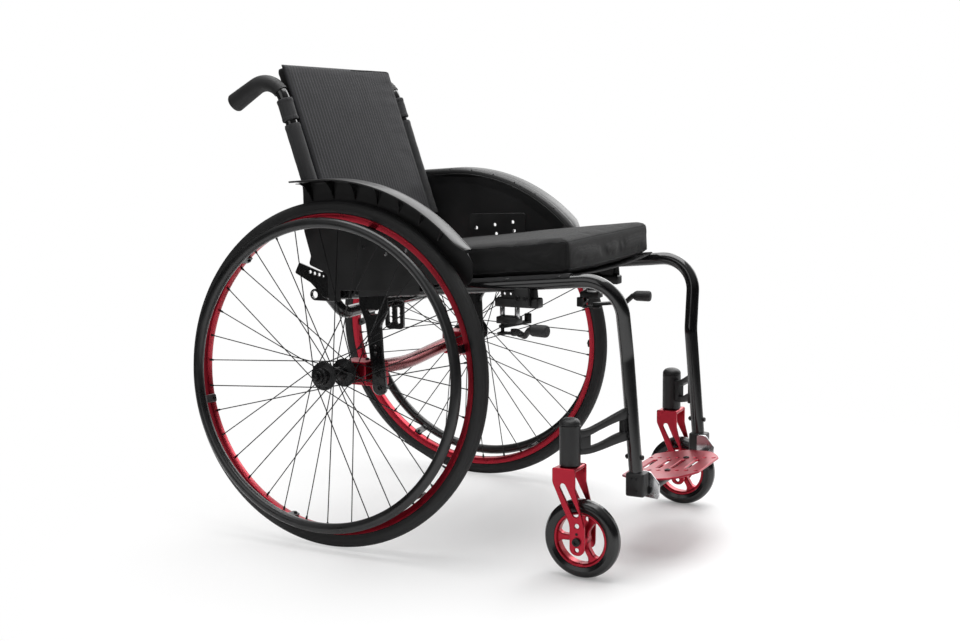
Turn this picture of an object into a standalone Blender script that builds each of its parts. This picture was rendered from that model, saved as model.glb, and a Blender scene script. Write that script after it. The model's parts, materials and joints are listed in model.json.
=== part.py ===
# A rigid-frame wheelchair: tube frame, cambered spoked wheels, swivel casters, hinged backrest,
# scissor brakes and an adjustable footrest.
#
# Axes: +X to the user's left, -Y to the front, +Z up, floor at z = 0. Lengths are in metres.
# Every place below is measured from the point on the floor under the rear axle, midway between
# the wheels. The chair's root empty then shifts all of it so that the origin is at the middle of
# the footprint.

import math

import bmesh
import bpy
from mathutils import Matrix, Vector

# Clearances
GAP = 0.0003
RUNNING_GAP = 0.0005

# Seat width: half of the distance between the seat rails' centre lines
SEAT_X = 0.180

# Rear wheels
WHEEL_RADIUS = 0.295
WHEEL_X = SEAT_X + 0.069
CAMBER = math.radians(4.46)
WHEEL_Z = WHEEL_RADIUS * math.cos(CAMBER)
WHEEL_STEPS = 36
TYRE_SECTION = 0.0126
TYRE_SIDES = 8
RIM_HALF_WIDTH = 0.0100
RIM_DEPTH = 0.0126
RIM_SEAT_DROP = 0.0048
RIM_EDGE = WHEEL_RADIUS - 2 * TYRE_SECTION + RIM_SEAT_DROP - 0.0008
SPOKE_COUNT = 36
SPOKE_RADIUS = 0.0010
SPOKE_SIDES = 3
SPOKE_CROSS = math.radians(60)
SPOKE_LANE = 0.0013
SPOKE_RIM_OFFSET = 0.0025
FLANGE_RADIUS = 0.0245
FLANGE_THICKNESS = 0.0030
OUTER_FLANGE = 0.0290
INNER_FLANGE = -0.0330
HUB_BARREL_RADIUS = 0.0115
HUB_CAP_RADIUS = 0.0140
HUB_HALF_LENGTH = 0.0440
HANDRIM_RADIUS = WHEEL_RADIUS - 0.0385
HANDRIM_TUBE = 0.0090
HANDRIM_OFFSET = 0.0380
TAB_COUNT = 6
TAB_THICKNESS = 0.0030
TAB_WIDTH = 0.0150
TAB_PHASE = math.radians(5)
WHEEL_SPIN = {"right": math.radians(8.7), "left": math.radians(-3.8)}

# Quick-release axle
PIN_RADIUS = 0.0063
PIN_HEAD_RADIUS = 0.0095
PIN_HEAD_LENGTH = 0.0057
PIN_REACH = 0.0790
BUTTON_RADIUS = 0.0042
BUTTON_LENGTH = 0.0255
BUTTON_PROUD = 0.0065
BUTTON_TRAVEL = 0.0050

# Frame tubes
TUBE_RADIUS = 0.01125
SEAT_REAR_Y = 0.050
SEAT_Z_AT_AXLE = 0.4260
SEAT_SLOPE = 0.0945
FRONT_CORNER_Y = -0.4915
FRONT_BEND = 0.058
LEG_X = SEAT_X - 0.026
KNEE = Vector((LEG_X, -0.495, 0.345))
KNEE_BEND = 0.080
LEG_END = Vector((LEG_X, -0.511, 0.160))
LEG_BORE_DEPTH = 0.105

# Rear cross tube, its tab plate and sockets
CROSS_RADIUS = 0.0110
CROSS_Y = 0.036
CROSS_Z = 0.386
CROSS_BUCKET_X = SEAT_X - 0.022
CROSS_END_X = SEAT_X - 0.006
CROSS_END_Y = 0.055
CROSS_BEND = 0.020
TAB_PLATE_SIZE = Vector((0.0395, 0.053))
TAB_PLATE_TOP = 0.388
TAB_PLATE_Y = 0.0257
TAB_PLATE_THICKNESS = 0.0060
TAB_SLOT_Y = 0.0084
TAB_SLOT_LENGTH = 0.0315
TAB_SLOT_WIDTH = 0.0080
TAB_SLOT_Z = 0.3610
TAB_CORNER = 0.008
SOCKET_HEIGHT = 0.0205
SOCKET_WIDTH = 0.0080
SOCKET_REAR_Y = 0.088
SOCKET_HOLE_Y = 0.079
SOCKET_HOLE_RADIUS = 0.0066

# Axle tube, supports and clamps
CAMBER_TUBE_RADIUS = 0.0127
CAMBER_BEND = 0.450
SUPPORT_OUTER_X = SEAT_X + 0.010
SUPPORT_THICKNESS = 0.0080
SUPPORT_TOP = 0.4270
SUPPORT_FORK_Z = 0.374
SUPPORT_BOTTOM = WHEEL_Z - 0.0441
CLAMP_INNER_X = SEAT_X - 0.018
CLAMP_REAR_Y = 0.0165
CLAMP_FRONT_Y = -0.0575
CLAMP_TOP_Z = WHEEL_Z + 0.0150
CLAMP_BOTTOM_Z = WHEEL_Z - 0.0301
CLAMP_CORNER = 0.006
COLLAR_FRONT_Y = -0.0345
COLLAR_STEP = 0.0005

# Caster arm and housing
CASTER_X = SEAT_X + 0.055
CASTER_Y = -0.4315
HOUSING_RADIUS = 0.0168
HOUSING_TOP = 0.2566
ARM_THICKNESS = 0.0105
ARM_STATIONS = (
    # x outboard of the rail, y, lower edge, upper edge
    (-0.030, -0.4975, 0.211, 0.262),
    (-0.014, -0.4950, 0.211, 0.262),
    (0.002, -0.4850, 0.208, 0.256),
    (0.022, -0.4680, 0.201, 0.245),
    (0.039, -0.4530, 0.197, 0.237),
    (0.053, -0.4360, 0.197, 0.235),
)
ARM_WINDOW = (
    (-0.010, -0.4930, 0.2265, 0.2470),
    (0.002, -0.4850, 0.2225, 0.2435),
    (0.022, -0.4680, 0.2125, 0.2345),
    (0.034, -0.4575, 0.2075, 0.2260),
)

# Caster fork and wheel
CASTER_RADIUS = 0.0636
CASTER_STEPS = 20
CASTER_TYRE_HALF = 0.0136
CASTER_RIM_RADIUS = CASTER_RADIUS - 0.0189
CASTER_RIM_HALF = 0.0105
CASTER_RIM_WALL = 0.0048
CASTER_HUB_RADIUS = 0.0120
CASTER_SPIN = math.radians(90)
CASTER_SPOKES = 3
CASTER_TRAIL = 0.0215
FORK_TOP = 0.1795
FORK_HALF_WIDTH = 0.0240
FORK_WALL = 0.0040
FORK_CROWN = 0.0060
FORK_FRONT = -0.0185
FORK_REAR = 0.0205
DROPOUT_RADIUS = 0.0125
STEM_RADIUS = 0.0070
STEM_LENGTH = 0.0600
CASTER_AXLE_RADIUS = 0.0040
CASTER_AXLE_HEAD = 0.0068

# Backrest
RECLINE = math.radians(18.8)
HINGE_Y = 0.0285
HINGE_Z = 0.4680
CANE_X = SEAT_X + 0.008
CANE_RADIUS = 0.0105
CANE_STRAIGHT = 0.306
HANDLE_BEND = 0.040
HANDLE_TURN = math.radians(102)
HANDLE_REACH = 0.103
GRIP_RADIUS = CANE_RADIUS + 0.0062
GRIP_FIRST_TURN = math.radians(20)
GRIP_END_WALL = 0.006
PAD_HALF_WIDTH = CANE_X - CANE_RADIUS - 0.003
PAD_FRONT_OFFSET = 0.0105
PAD_THICKNESS = 0.020
PAD_LOW = 0.060
PAD_HIGH = CANE_STRAIGHT + 0.059
PAD_BELLY = 0.004
SLEEVE_RADIUS = CANE_RADIUS + 0.0045
SLEEVE_LOW = 0.070
SLEEVE_TOP = CANE_STRAIGHT - 0.001
WEB_THICKNESS = 0.0050
LUG_WIDTH = 0.018
LUG_HEIGHT = 0.032
LUG_THICKNESS = 0.0070
LUG_X = -0.0050
HINGE_PIN_RADIUS = 0.0038
HINGE_PLATE_THICKNESS = 0.0040

# Seat
SLING_THICKNESS = 0.0015
SLING_FRONT_Y = -0.410
SLING_REAR_Y = 0.010
SLING_SAG = 0.006
CUSHION_HALF_WIDTH = SEAT_X + 0.007
CUSHION_SETTLE = 0.0016
CUSHION_FRONT_Y = -0.408
CUSHION_REAR_Y = 0.010
CUSHION_FRONT_TOP = 0.534
CUSHION_REAR_TOP = 0.487
CUSHION_CROWN = 0.005
CUSHION_DRAW = 0.0035
CUSHION_BELLY = 0.003

# Side guards
GUARD_X = CANE_X + CANE_RADIUS + 0.0071
GUARD_WALL = 0.0025
GUARD_RADIUS = WHEEL_RADIUS + 0.035
GUARD_LIP_WIDTH = 0.0440
GUARD_LIP_THICKNESS = 0.0030
GUARD_FRONT_Y = -0.247
GUARD_TAIL_SLOPE = math.radians(4)
GUARD_TIP_Y = 0.091
GUARD_REAR_Y = 0.080
GUSSET_FIRST = math.radians(-11.6)
GUSSET_PITCH = math.radians(8.35)
GUSSET_COUNT = 7
GUSSET_HEIGHT = 0.034
GUSSET_THICKNESS = 0.0022
GUARD_HOLE_RADIUS = 0.0034
GUARD_HOLES = (
    (-0.040, 0.509),
    (-0.080, 0.516),
    (-0.1185, 0.522),
    (-0.083, 0.4985),
    (-0.1215, 0.5055),
)
BRACKET_WALL = 0.0018
BRACKET_FRONT_Y = -0.146
BRACKET_REAR_Y = -0.026

# Brakes
BRAKE_X = SEAT_X - 0.008
BRAKE_LEVER_Y = -0.305
BRAKE_SHOE_Y = -0.283
BRAKE_PLATE_Z = 0.3775
BRAKE_PLATE_THICKNESS = 0.0055
BRAKE_PIN_RADIUS = 0.0030
BRAKE_PIN_HEAD = 0.0055
BRAKE_CLAMP_SIZE = (0.024, 0.026, 0.0310)
BRAKE_CLAMP_Y = -0.327
BRAKE_CLAMP_DROP = 0.0215
BRAKE_WEB_X = SEAT_X - 0.004
BRAKE_WEB_THICKNESS = 0.0040
BRAKE_WEB_REAR_Y = (-0.2845, -0.2810)
BRAKE_WEB_FRONT_Y = (-0.3505, -0.3470)
BRAKE_WEB_HOLE_Y = (-0.2895, -0.3005)
BRAKE_WEB_HOLE_RISE = 0.0142
BRAKE_WEB_HOLE_RADIUS = 0.0022
BRAKE_BAR_SIZE = (0.022, 0.078, 0.0145)
BRAKE_BAR_Y = -0.3130
BRAKE_BAR_Z = 0.4245
BRAKE_POST_RADIUS = 0.0042
BRAKE_POST_Z = (0.398, 0.421)
BRAKE_POST_GAP = 0.0270
BRAKE_BLOCK_SIZE = (0.024, 0.0370)
BRAKE_BLOCK_Y = -0.2955
BRAKE_BLOCK_TOP = 0.401
BRAKE_BLOCK_CLEARANCE = 0.0060
BRAKE_STRAP_SIZE = (0.016, 0.0380, 0.0030)
LEVER_WIDTH = 0.0130
LEVER_ARM_END = (0.036, -0.030)
LEVER_ROD_RADIUS = 0.0040
LEVER_ROD_START = Vector((0.030, -0.025, -0.0012))
LEVER_ROD_BEND = Vector((0.046, -0.040, -0.0008))
LEVER_GRIP_BEND = 0.0045
LEVER_GRIP_START = Vector((0.0535, -0.052, 0.012))
LEVER_GRIP_END = Vector((0.0568, -0.081, 0.012))
SHOE_ARM = 0.0643
SHOE_REST = math.radians(-165)
PEG_RADIUS = 0.0060
PEG_HEIGHT = 0.0140
SHOE_WIDTH = 0.0120

# Footrest
LOWER_TUBE_RADIUS = TUBE_RADIUS - 0.00175
LOWER_TUBE_INSERTED = 0.092
FOOT_CLAMP_BOTTOM = 0.120
FOOT_CLAMP_HALF_WIDTH = 0.0125
FOOT_CLAMP_Y = -0.5133
FOOT_CLAMP_DEPTH = 0.0315
FOOT_BRACKET_THICKNESS = 0.0040
FOOT_BAR_Y = -0.528
FOOT_BAR_Z = 0.1275
FOOT_BAR_RADIUS = 0.0065
FOOT_PIN_RADIUS = 0.0032
FOOTPLATE_PITCH = 0.105
FOOTPLATE_THICKNESS = 0.0035
FOOTPLATE_HOLE_X = 0.047
FOOTPLATE_HOLE_PITCH = 0.0163
FOOTPLATE_HOLES = 8
FOOTPLATE_SLOTS = 4
FOOTPLATE_SLOT_FIRST_Y = -0.4775
FOOTPLATE_SLOT_PITCH = 0.0255
FOOTPLATE_SLOT_REACH = 0.028
FOOTPLATE_SLOT_WIDTH = 0.0085
FOOTPLATE_FRONT_Y = -0.5835
FOOTPLATE_REAR_Y = -0.458

# The origin is midway between the footplate's front edge and the rear of the tyres
AXLE_Y = (-FOOTPLATE_FRONT_Y - WHEEL_RADIUS) / 2

# Turns a plate drawn as (y, z) into the side view plane, its thickness along X
SIDE_VIEW = Matrix(((0, 0, 1, 0), (1, 0, 0, 0), (0, 1, 0, 0), (0, 0, 0, 1)))

SIDES = {"right": -1, "left": 1}

MATERIALS = {
    # name: (colour, roughness, metallic)
    "frame_black": ((0.012, 0.012, 0.013), 0.25, 0.0),
    "red_anodised": ((0.52, 0.02, 0.045), 0.32, 0.85),
    "rubber": ((0.015, 0.015, 0.016), 0.75, 0.0),
    "handrim_black": ((0.020, 0.020, 0.022), 0.30, 0.4),
    "spoke_black": ((0.020, 0.020, 0.022), 0.35, 0.6),
    "steel": ((0.62, 0.62, 0.63), 0.28, 1.0),
    "guard_plastic": ((0.030, 0.030, 0.033), 0.45, 0.0),
    "seat_fabric": ((0.022, 0.022, 0.024), 0.90, 0.0),
    "back_fabric": ((0.028, 0.028, 0.031), 0.90, 0.0),
    "black_plastic": ((0.018, 0.018, 0.019), 0.50, 0.0),
}


def clear_scene():
    for obj in list(bpy.data.objects):
        bpy.data.objects.remove(obj, do_unlink=True)
    for collection in list(bpy.data.collections):
        bpy.data.collections.remove(collection)


def make_material(name):
    colour, roughness, metallic = MATERIALS[name]
    material = bpy.data.materials.new(name)
    material.use_nodes = True
    shader = material.node_tree.nodes["Principled BSDF"]
    shader.inputs["Base Color"].default_value = (*colour, 1.0)
    shader.inputs["Roughness"].default_value = roughness
    shader.inputs["Metallic"].default_value = metallic
    return material


# Placing pieces


def pivot(name, location, parent=None, rotation=None):
    """An empty on a joint's axis, or a shared reference point."""
    empty = bpy.data.objects.new(name, None)
    empty.empty_display_size = 0.03
    empty.parent = parent
    empty.matrix_local = Matrix.Translation(location) @ (rotation or Matrix())
    CHAIR.objects.link(empty)
    return empty


def add(name, mesh, material, parent, location=(0, 0, 0), rotation=None):
    """One named piece of the chair."""
    mesh.name = name
    mesh.materials.clear()
    mesh.materials.append(bpy.data.materials[material])
    mesh.shade_smooth()
    mesh.set_sharp_from_angle(angle=math.radians(35))
    piece = bpy.data.objects.new(name, mesh)
    piece.parent = parent
    piece.matrix_local = Matrix.Translation(location) @ (rotation or Matrix())
    CHAIR.objects.link(piece)
    return piece


def scratch(data):
    obj = bpy.data.objects.new("scratch", data)
    bpy.context.scene.collection.objects.link(obj)
    return obj


def baked(obj):
    """The object's evaluated mesh, welded and facing out. The object itself is removed."""
    graph = bpy.context.evaluated_depsgraph_get()
    mesh = bpy.data.meshes.new_from_object(obj.evaluated_get(graph))
    bpy.data.objects.remove(obj)
    shape = bmesh.new()
    shape.from_mesh(mesh)
    bmesh.ops.remove_doubles(shape, verts=shape.verts, dist=0.000002)
    bmesh.ops.recalc_face_normals(shape, faces=shape.faces)
    shape.to_mesh(mesh)
    shape.free()
    return mesh


def combined(base, tools, operation):
    """The base mesh joined with, or cut by, each tool mesh."""
    body = scratch(base)
    helpers = []
    for tool in tools:
        helper = scratch(tool)
        helpers.append(helper)
        modifier = body.modifiers.new(operation.lower(), "BOOLEAN")
        modifier.operation = operation
        modifier.solver = "EXACT"
        modifier.object = helper
    mesh = baked(body)
    for helper in helpers:
        bpy.data.objects.remove(helper)
    return mesh


def joined(base, *tools):
    return combined(base, tools, "UNION")


def cut(base, *tools):
    return combined(base, tools, "DIFFERENCE")


def moved(mesh, location=(0, 0, 0), rotation=None):
    mesh.transform(Matrix.Translation(location) @ (rotation or Matrix()))
    return mesh


def on_side(mesh, side):
    """A piece modelled on the user's left is mirrored for the right."""
    if side == "right":
        mesh.transform(Matrix.Scale(-1, 4, (1, 0, 0)))
        mesh.flip_normals()
    return mesh


def aim(direction):
    """The turn that takes +Z to a direction."""
    return Vector(direction).to_track_quat("Z", "Y").to_matrix().to_4x4()


# Shapes


def box(size, centre=(0, 0, 0), bevel=0.0, segments=2):
    shape = bmesh.new()
    bmesh.ops.create_cube(shape, size=1)
    bmesh.ops.scale(shape, vec=size, verts=shape.verts)
    if bevel:
        bmesh.ops.bevel(
            shape, geom=shape.edges, offset=bevel, segments=segments, profile=0.5, affect="EDGES"
        )
    bmesh.ops.translate(shape, vec=centre, verts=shape.verts)
    mesh = bpy.data.meshes.new("box")
    shape.to_mesh(mesh)
    shape.free()
    return mesh


def rod(start, end, radius, sides=12):
    """A round bar between two points."""
    start = Vector(start)
    end = Vector(end)
    shape = bmesh.new()
    bmesh.ops.create_cone(
        shape, cap_ends=True, segments=sides, radius1=radius, radius2=radius, depth=(end - start).length
    )
    mesh = bpy.data.meshes.new("rod")
    shape.to_mesh(mesh)
    shape.free()
    return moved(mesh, (start + end) / 2, aim(end - start))


def tube(points, radius, resolution=4):
    """A round bar along a path."""
    curve = bpy.data.curves.new("tube", "CURVE")
    curve.dimensions = "3D"
    curve.bevel_depth = radius
    curve.bevel_resolution = resolution
    curve.use_fill_caps = True
    spline = curve.splines.new("POLY")
    spline.points.add(len(points) - 1)
    for point, place in zip(spline.points, points):
        point.co = (*place, 1)
    return baked(scratch(curve))


def turned(profile, steps, closed=True):
    """A shape turned about Z from a profile of (radius, height) points."""
    mesh = bpy.data.meshes.new("profile")
    count = len(profile)
    edges = [(i, (i + 1) % count) for i in range(count if closed else count - 1)]
    mesh.from_pydata([(radius, 0, height) for radius, height in profile], edges, [])
    obj = scratch(mesh)
    screw = obj.modifiers.new("turn", "SCREW")
    screw.steps = steps
    screw.render_steps = steps
    screw.use_merge_vertices = True
    screw.merge_threshold = 0.00001
    return baked(obj)


def plate(outline, thickness, holes=()):
    """A flat plate on the XY plane, half of its thickness to each side, with its holes."""
    curve = bpy.data.curves.new("plate", "CURVE")
    curve.dimensions = "2D"
    curve.fill_mode = "BOTH"
    curve.extrude = thickness / 2
    for loop in (outline, *holes):
        spline = curve.splines.new("POLY")
        spline.points.add(len(loop) - 1)
        for point, (x, y) in zip(spline.points, loop):
            point.co = (x, y, 0, 1)
        spline.use_cyclic_u = True
    return baked(scratch(curve))


def side_plate(outline, x, thickness, holes=()):
    """A plate drawn in the side view as (y, z), with its middle at x."""
    return moved(plate(outline, thickness, holes), (x, 0, 0), SIDE_VIEW)


def loft(rings):
    """Closed rings of equal count joined one to the next, the first and last one closed."""
    shape = bmesh.new()
    rows = [[shape.verts.new(place) for place in ring] for ring in rings]
    count = len(rings[0])
    for lower, upper in zip(rows, rows[1:]):
        for i in range(count):
            j = (i + 1) % count
            shape.faces.new((lower[i], lower[j], upper[j], upper[i]))
    shape.faces.new(list(reversed(rows[0])))
    shape.faces.new(rows[-1])
    bmesh.ops.recalc_face_normals(shape, faces=shape.faces)
    mesh = bpy.data.meshes.new("loft")
    shape.to_mesh(mesh)
    shape.free()
    return mesh


# Outlines and paths


def ring(centre, radius, sides=12, start=0.0):
    turn = 2 * math.pi / sides
    return [
        (centre[0] + radius * math.cos(start + i * turn), centre[1] + radius * math.sin(start + i * turn))
        for i in range(sides)
    ]


def slot(start, end, width, sides=5):
    """A slot with round ends between two centres."""
    start = Vector(start)
    end = Vector(end)
    heading = math.atan2(end.y - start.y, end.x - start.x)
    points = []
    for centre, first in ((end, heading - math.pi / 2), (start, heading + math.pi / 2)):
        for i in range(sides + 1):
            angle = first + math.pi * i / sides
            points.append((centre.x + width / 2 * math.cos(angle), centre.y + width / 2 * math.sin(angle)))
    return points


def fillet(before, corner, after, radius, steps):
    """The points of the arc that rounds one corner."""
    back = (before - corner).normalized()
    ahead = (after - corner).normalized()
    half = back.angle(ahead) / 2
    reach = radius / math.tan(half)
    centre = corner + (back + ahead).normalized() * (radius / math.sin(half))
    arm = corner + back * reach - centre
    axis = arm.cross(corner + ahead * reach - centre).normalized()
    turn = math.pi - 2 * half
    return [centre + Matrix.Rotation(turn * i / steps, 3, axis) @ arm for i in range(steps + 1)]


def bent(corners, radii, steps=5):
    """A path through the corners, with each inner corner rounded to its radius."""
    corners = [Vector(corner) for corner in corners]
    path = [corners[0]]
    for before, corner, after, radius in zip(corners, corners[1:], corners[2:], radii):
        path.extend(fillet(before, corner, after, radius, steps))
    path.append(corners[-1])
    return path


def rounded(corners, steps=2):
    """A closed outline from corners written as (x, y, radius)."""
    places = [Vector((x, y, 0)) for x, y, _ in corners]
    points = []
    for i, (x, y, radius) in enumerate(corners):
        if not radius:
            points.append((x, y))
            continue
        arc = fillet(places[i - 1], places[i], places[(i + 1) % len(places)], radius, steps)
        points.extend((point.x, point.y) for point in arc)
    return points


# Places that several pieces share


def seat_z(y):
    """The height of the seat rail's centre line."""
    return SEAT_Z_AT_AXLE - SEAT_SLOPE * y


def axle_point(outboard):
    """A point on the left wheel's axle, this far outboard of the wheel's centre."""
    return Vector(
        (WHEEL_X + outboard * math.cos(CAMBER), 0, WHEEL_Z + outboard * math.sin(CAMBER))
    )


def leg_axis():
    return (KNEE - LEG_END).normalized()


def rail_cutter(clearance=GAP, front=CUSHION_FRONT_Y, rear=0.1, sides=16):
    """A rod a little fatter than the left seat rail, to cut what sits against it."""
    return rod(
        (SEAT_X, front, seat_z(front)), (SEAT_X, rear, seat_z(rear)), TUBE_RADIUS + clearance, sides
    )


# Frame


def side_frame():
    corner = Vector((SEAT_X, FRONT_CORNER_Y, seat_z(FRONT_CORNER_Y)))
    rear = Vector((SEAT_X, SEAT_REAR_Y, seat_z(SEAT_REAR_Y)))
    path = bent((rear, corner, KNEE, LEG_END), (FRONT_BEND, KNEE_BEND), 4)
    bore = rod(
        LEG_END - leg_axis() * 0.01,
        LEG_END + leg_axis() * LEG_BORE_DEPTH,
        LOWER_TUBE_RADIUS + RUNNING_GAP,
        12,
    )
    return cut(tube(path, TUBE_RADIUS), bore)


def rear_cross_tube():
    radius = SOCKET_HEIGHT / 2
    socket_z = seat_z(SOCKET_HOLE_Y)
    path = bent(
        (
            (-CROSS_END_X, CROSS_END_Y, socket_z),
            (-CROSS_BUCKET_X, CROSS_Y, CROSS_Z),
            (CROSS_BUCKET_X, CROSS_Y, CROSS_Z),
            (CROSS_END_X, CROSS_END_Y, socket_z),
        ),
        (CROSS_BEND, CROSS_BEND),
        3,
    )
    front = TAB_PLATE_Y - TAB_PLATE_SIZE.x / 2
    rear = TAB_PLATE_Y + TAB_PLATE_SIZE.x / 2
    low = TAB_PLATE_TOP - TAB_PLATE_SIZE.y
    outline = rounded(
        (
            (rear, TAB_PLATE_TOP, 0),
            (front, TAB_PLATE_TOP, 0),
            (front, low, TAB_CORNER),
            (rear, low, TAB_CORNER),
        )
    )
    rise = (TAB_SLOT_LENGTH - TAB_SLOT_WIDTH) / 2
    slots = [
        slot((y, TAB_SLOT_Z - rise), (y, TAB_SLOT_Z + rise), TAB_SLOT_WIDTH, 4)
        for y in (TAB_PLATE_Y - TAB_SLOT_Y, TAB_PLATE_Y + TAB_SLOT_Y)
    ]
    pieces = [side_plate(outline, 0, TAB_PLATE_THICKNESS, slots)]
    for side in SIDES.values():
        socket_outline = slot((CROSS_Y, socket_z), (SOCKET_REAR_Y - radius, socket_z), SOCKET_HEIGHT, 4)
        hole = ring((SOCKET_HOLE_Y, socket_z), SOCKET_HOLE_RADIUS, 8)
        pieces.append(side_plate(socket_outline, side * SEAT_X, SOCKET_WIDTH, [hole]))
    rails = [on_side(rail_cutter(rear=SEAT_REAR_Y + GAP), side) for side in SIDES]
    return cut(joined(tube(path, CROSS_RADIUS, 2), *pieces), *rails)


def camber_tube():
    end = axle_point(-HUB_HALF_LENGTH - RUNNING_GAP)
    middle_z = WHEEL_Z - math.tan(CAMBER) * WHEEL_X
    path = bent(((-end.x, 0, end.z), (0, 0, middle_z), (end.x, 0, end.z)), (CAMBER_BEND,), 6)
    bores = []
    for side in SIDES.values():
        mouth = axle_point(-HUB_HALF_LENGTH + 0.005)
        deep = axle_point(-PIN_REACH - 0.004)
        bores.append(
            rod(
                (side * mouth.x, 0, mouth.z), (side * deep.x, 0, deep.z), PIN_RADIUS + RUNNING_GAP, 12
            )
        )
    return cut(tube(path, CAMBER_TUBE_RADIUS, 3), *bores)


def axle_support():
    """The Y-shaped plate: two arms up to the seat rail, one stem down past the axle tube."""
    stem = SUPPORT_FORK_Z - SUPPORT_BOTTOM
    outline = rounded(
        (
            (-0.016, SUPPORT_TOP, 0),
            (-0.016, SUPPORT_TOP - 0.019, 0.006),
            (-0.0285, SUPPORT_FORK_Z, 0.010),
            (-0.0355, SUPPORT_BOTTOM + 0.5645 * stem, 0),
            (-0.0405, SUPPORT_BOTTOM, 0.013),
            (-0.0685, SUPPORT_BOTTOM, 0.013),
            (-0.0615, SUPPORT_BOTTOM + 0.5645 * stem, 0),
            (-0.0590, SUPPORT_FORK_Z, 0.012),
            (-0.0720, SUPPORT_TOP - 0.031, 0.006),
            (-0.0720, SUPPORT_TOP, 0),
        )
    )
    notch = rounded(
        (
            (-0.031, SUPPORT_TOP - 0.0285, 0),
            (-0.056, SUPPORT_TOP - 0.0265, 0),
            (-0.052, SUPPORT_TOP - 0.0355, 0.002),
            (-0.036, SUPPORT_TOP - 0.0365, 0.002),
        )
    )
    holes = [
        notch,
        ring((-0.0480, SUPPORT_BOTTOM + 0.695 * stem), 0.0022, 6),
        ring((-0.0485, SUPPORT_BOTTOM + 0.598 * stem), 0.0022, 6),
        ring((-0.0525, SUPPORT_BOTTOM + 0.036), 0.0030, 6),
        ring((-0.0550, SUPPORT_BOTTOM + 0.013), 0.0026, 6),
    ]
    middle = SUPPORT_OUTER_X - SUPPORT_THICKNESS / 2
    return cut(side_plate(outline, middle, SUPPORT_THICKNESS, holes), rail_cutter())


def axle_clamp():
    """The block that carries the axle tube, inboard of the support and behind its stem."""
    face = SUPPORT_OUTER_X - SUPPORT_THICKNESS - GAP
    inner = side_plate(
        rounded(
            (
                (CLAMP_REAR_Y, CLAMP_TOP_Z, CLAMP_CORNER),
                (CLAMP_FRONT_Y, CLAMP_TOP_Z, CLAMP_CORNER),
                (CLAMP_FRONT_Y, CLAMP_BOTTOM_Z, CLAMP_CORNER),
                (CLAMP_REAR_Y, CLAMP_BOTTOM_Z, CLAMP_CORNER),
            )
        ),
        (CLAMP_INNER_X + face) / 2,
        face - CLAMP_INNER_X,
    )
    end = axle_point(-HUB_HALF_LENGTH).x - 0.0025
    rear = CLAMP_REAR_Y - COLLAR_STEP
    high = CLAMP_TOP_Z - COLLAR_STEP
    low = CLAMP_BOTTOM_Z + 0.008
    collar = side_plate(
        rounded(
            (
                (rear, high, CLAMP_CORNER),
                (COLLAR_FRONT_Y, high, 0.002),
                (COLLAR_FRONT_Y, low, 0.002),
                (rear, low, CLAMP_CORNER),
            )
        ),
        (face - 0.003 + end) / 2,
        end - face + 0.003,
    )
    bore = rod(axle_point(-0.120), axle_point(0.010), CAMBER_TUBE_RADIUS + GAP, 16)
    return cut(joined(inner, collar), bore)


def caster_arm():
    """The double arm from the front leg to the caster housing, with the housing and its dome."""
    bar = strip(ARM_STATIONS, ARM_THICKNESS)
    window = strip(ARM_WINDOW, ARM_THICKNESS * 2)
    leg = rod(KNEE, LEG_END, TUBE_RADIUS + GAP, 16)
    foot = FORK_TOP + RUNNING_GAP
    shoulder = HOUSING_TOP - 0.010
    bore = STEM_RADIUS + RUNNING_GAP
    roof = FORK_TOP + STEM_LENGTH + 0.002
    housing = turned(
        (
            (0, HOUSING_TOP),
            (0.0080, HOUSING_TOP - 0.0006),
            (0.0140, HOUSING_TOP - 0.0040),
            (HOUSING_RADIUS, shoulder),
            (HOUSING_RADIUS, foot + 0.001),
            (HOUSING_RADIUS - 0.001, foot),
            (bore, foot),
            (bore, roof),
            (0, roof),
        ),
        16,
        closed=False,
    )
    socket = rod((CASTER_X, CASTER_Y, foot - 0.01), (CASTER_X, CASTER_Y, roof), bore, 16)
    arm = cut(bar, window, leg, socket)
    return joined(arm, moved(housing, (CASTER_X, CASTER_Y, 0)))


def strip(stations, thickness):
    """An upright bar whose plan follows stations measured from the seat rail."""
    rings = []
    for i, (outboard, y, low, high) in enumerate(stations):
        x = SEAT_X + outboard
        before = Vector(stations[max(i - 1, 0)][:2])
        after = Vector(stations[min(i + 1, len(stations) - 1)][:2])
        along = (after - before).normalized()
        across = Vector((-along.y, along.x)) * thickness / 2
        rings.append(
            [
                (x + across.x, y + across.y, low),
                (x - across.x, y - across.y, low),
                (x - across.x, y - across.y, high),
                (x + across.x, y + across.y, high),
            ]
        )
    return loft(rings)


def hinge_plate():
    """The perforated plate outside the rail's end, with the backrest's pivot pin."""
    inner_x = SEAT_X + TUBE_RADIUS + GAP
    outline = rounded(
        (
            (-0.006, seat_z(0) - 0.008, 0.003),
            (0.050, seat_z(0.050) - 0.006, 0.004),
            (0.078, 0.441, 0.004),
            (0.1105, 0.457, 0.003),
            (0.101, 0.4755, 0.003),
            (0.052, 0.4595, 0.006),
            (HINGE_Y + 0.010, HINGE_Z + 0.011, 0.009),
            (HINGE_Y - 0.010, HINGE_Z + 0.011, 0.009),
            (-0.006, seat_z(0) + 0.009, 0.004),
        )
    )
    holes = [ring(place, 0.0030, 6) for place in ((0.0785, 0.4600), (0.0695, 0.4577), (0.0602, 0.4560))]
    holes.append(ring((0.0516, 0.4535), 0.0020, 6))
    middle = inner_x + HINGE_PLATE_THICKNESS / 2
    blank = side_plate(outline, middle, HINGE_PLATE_THICKNESS, holes)
    tip = CANE_X + LUG_X - LUG_THICKNESS / 2 - 0.0030
    pin = rod((tip, HINGE_Y, HINGE_Z), (middle, HINGE_Y, HINGE_Z), HINGE_PIN_RADIUS, 12)
    return joined(blank, pin)


# Seat


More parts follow.
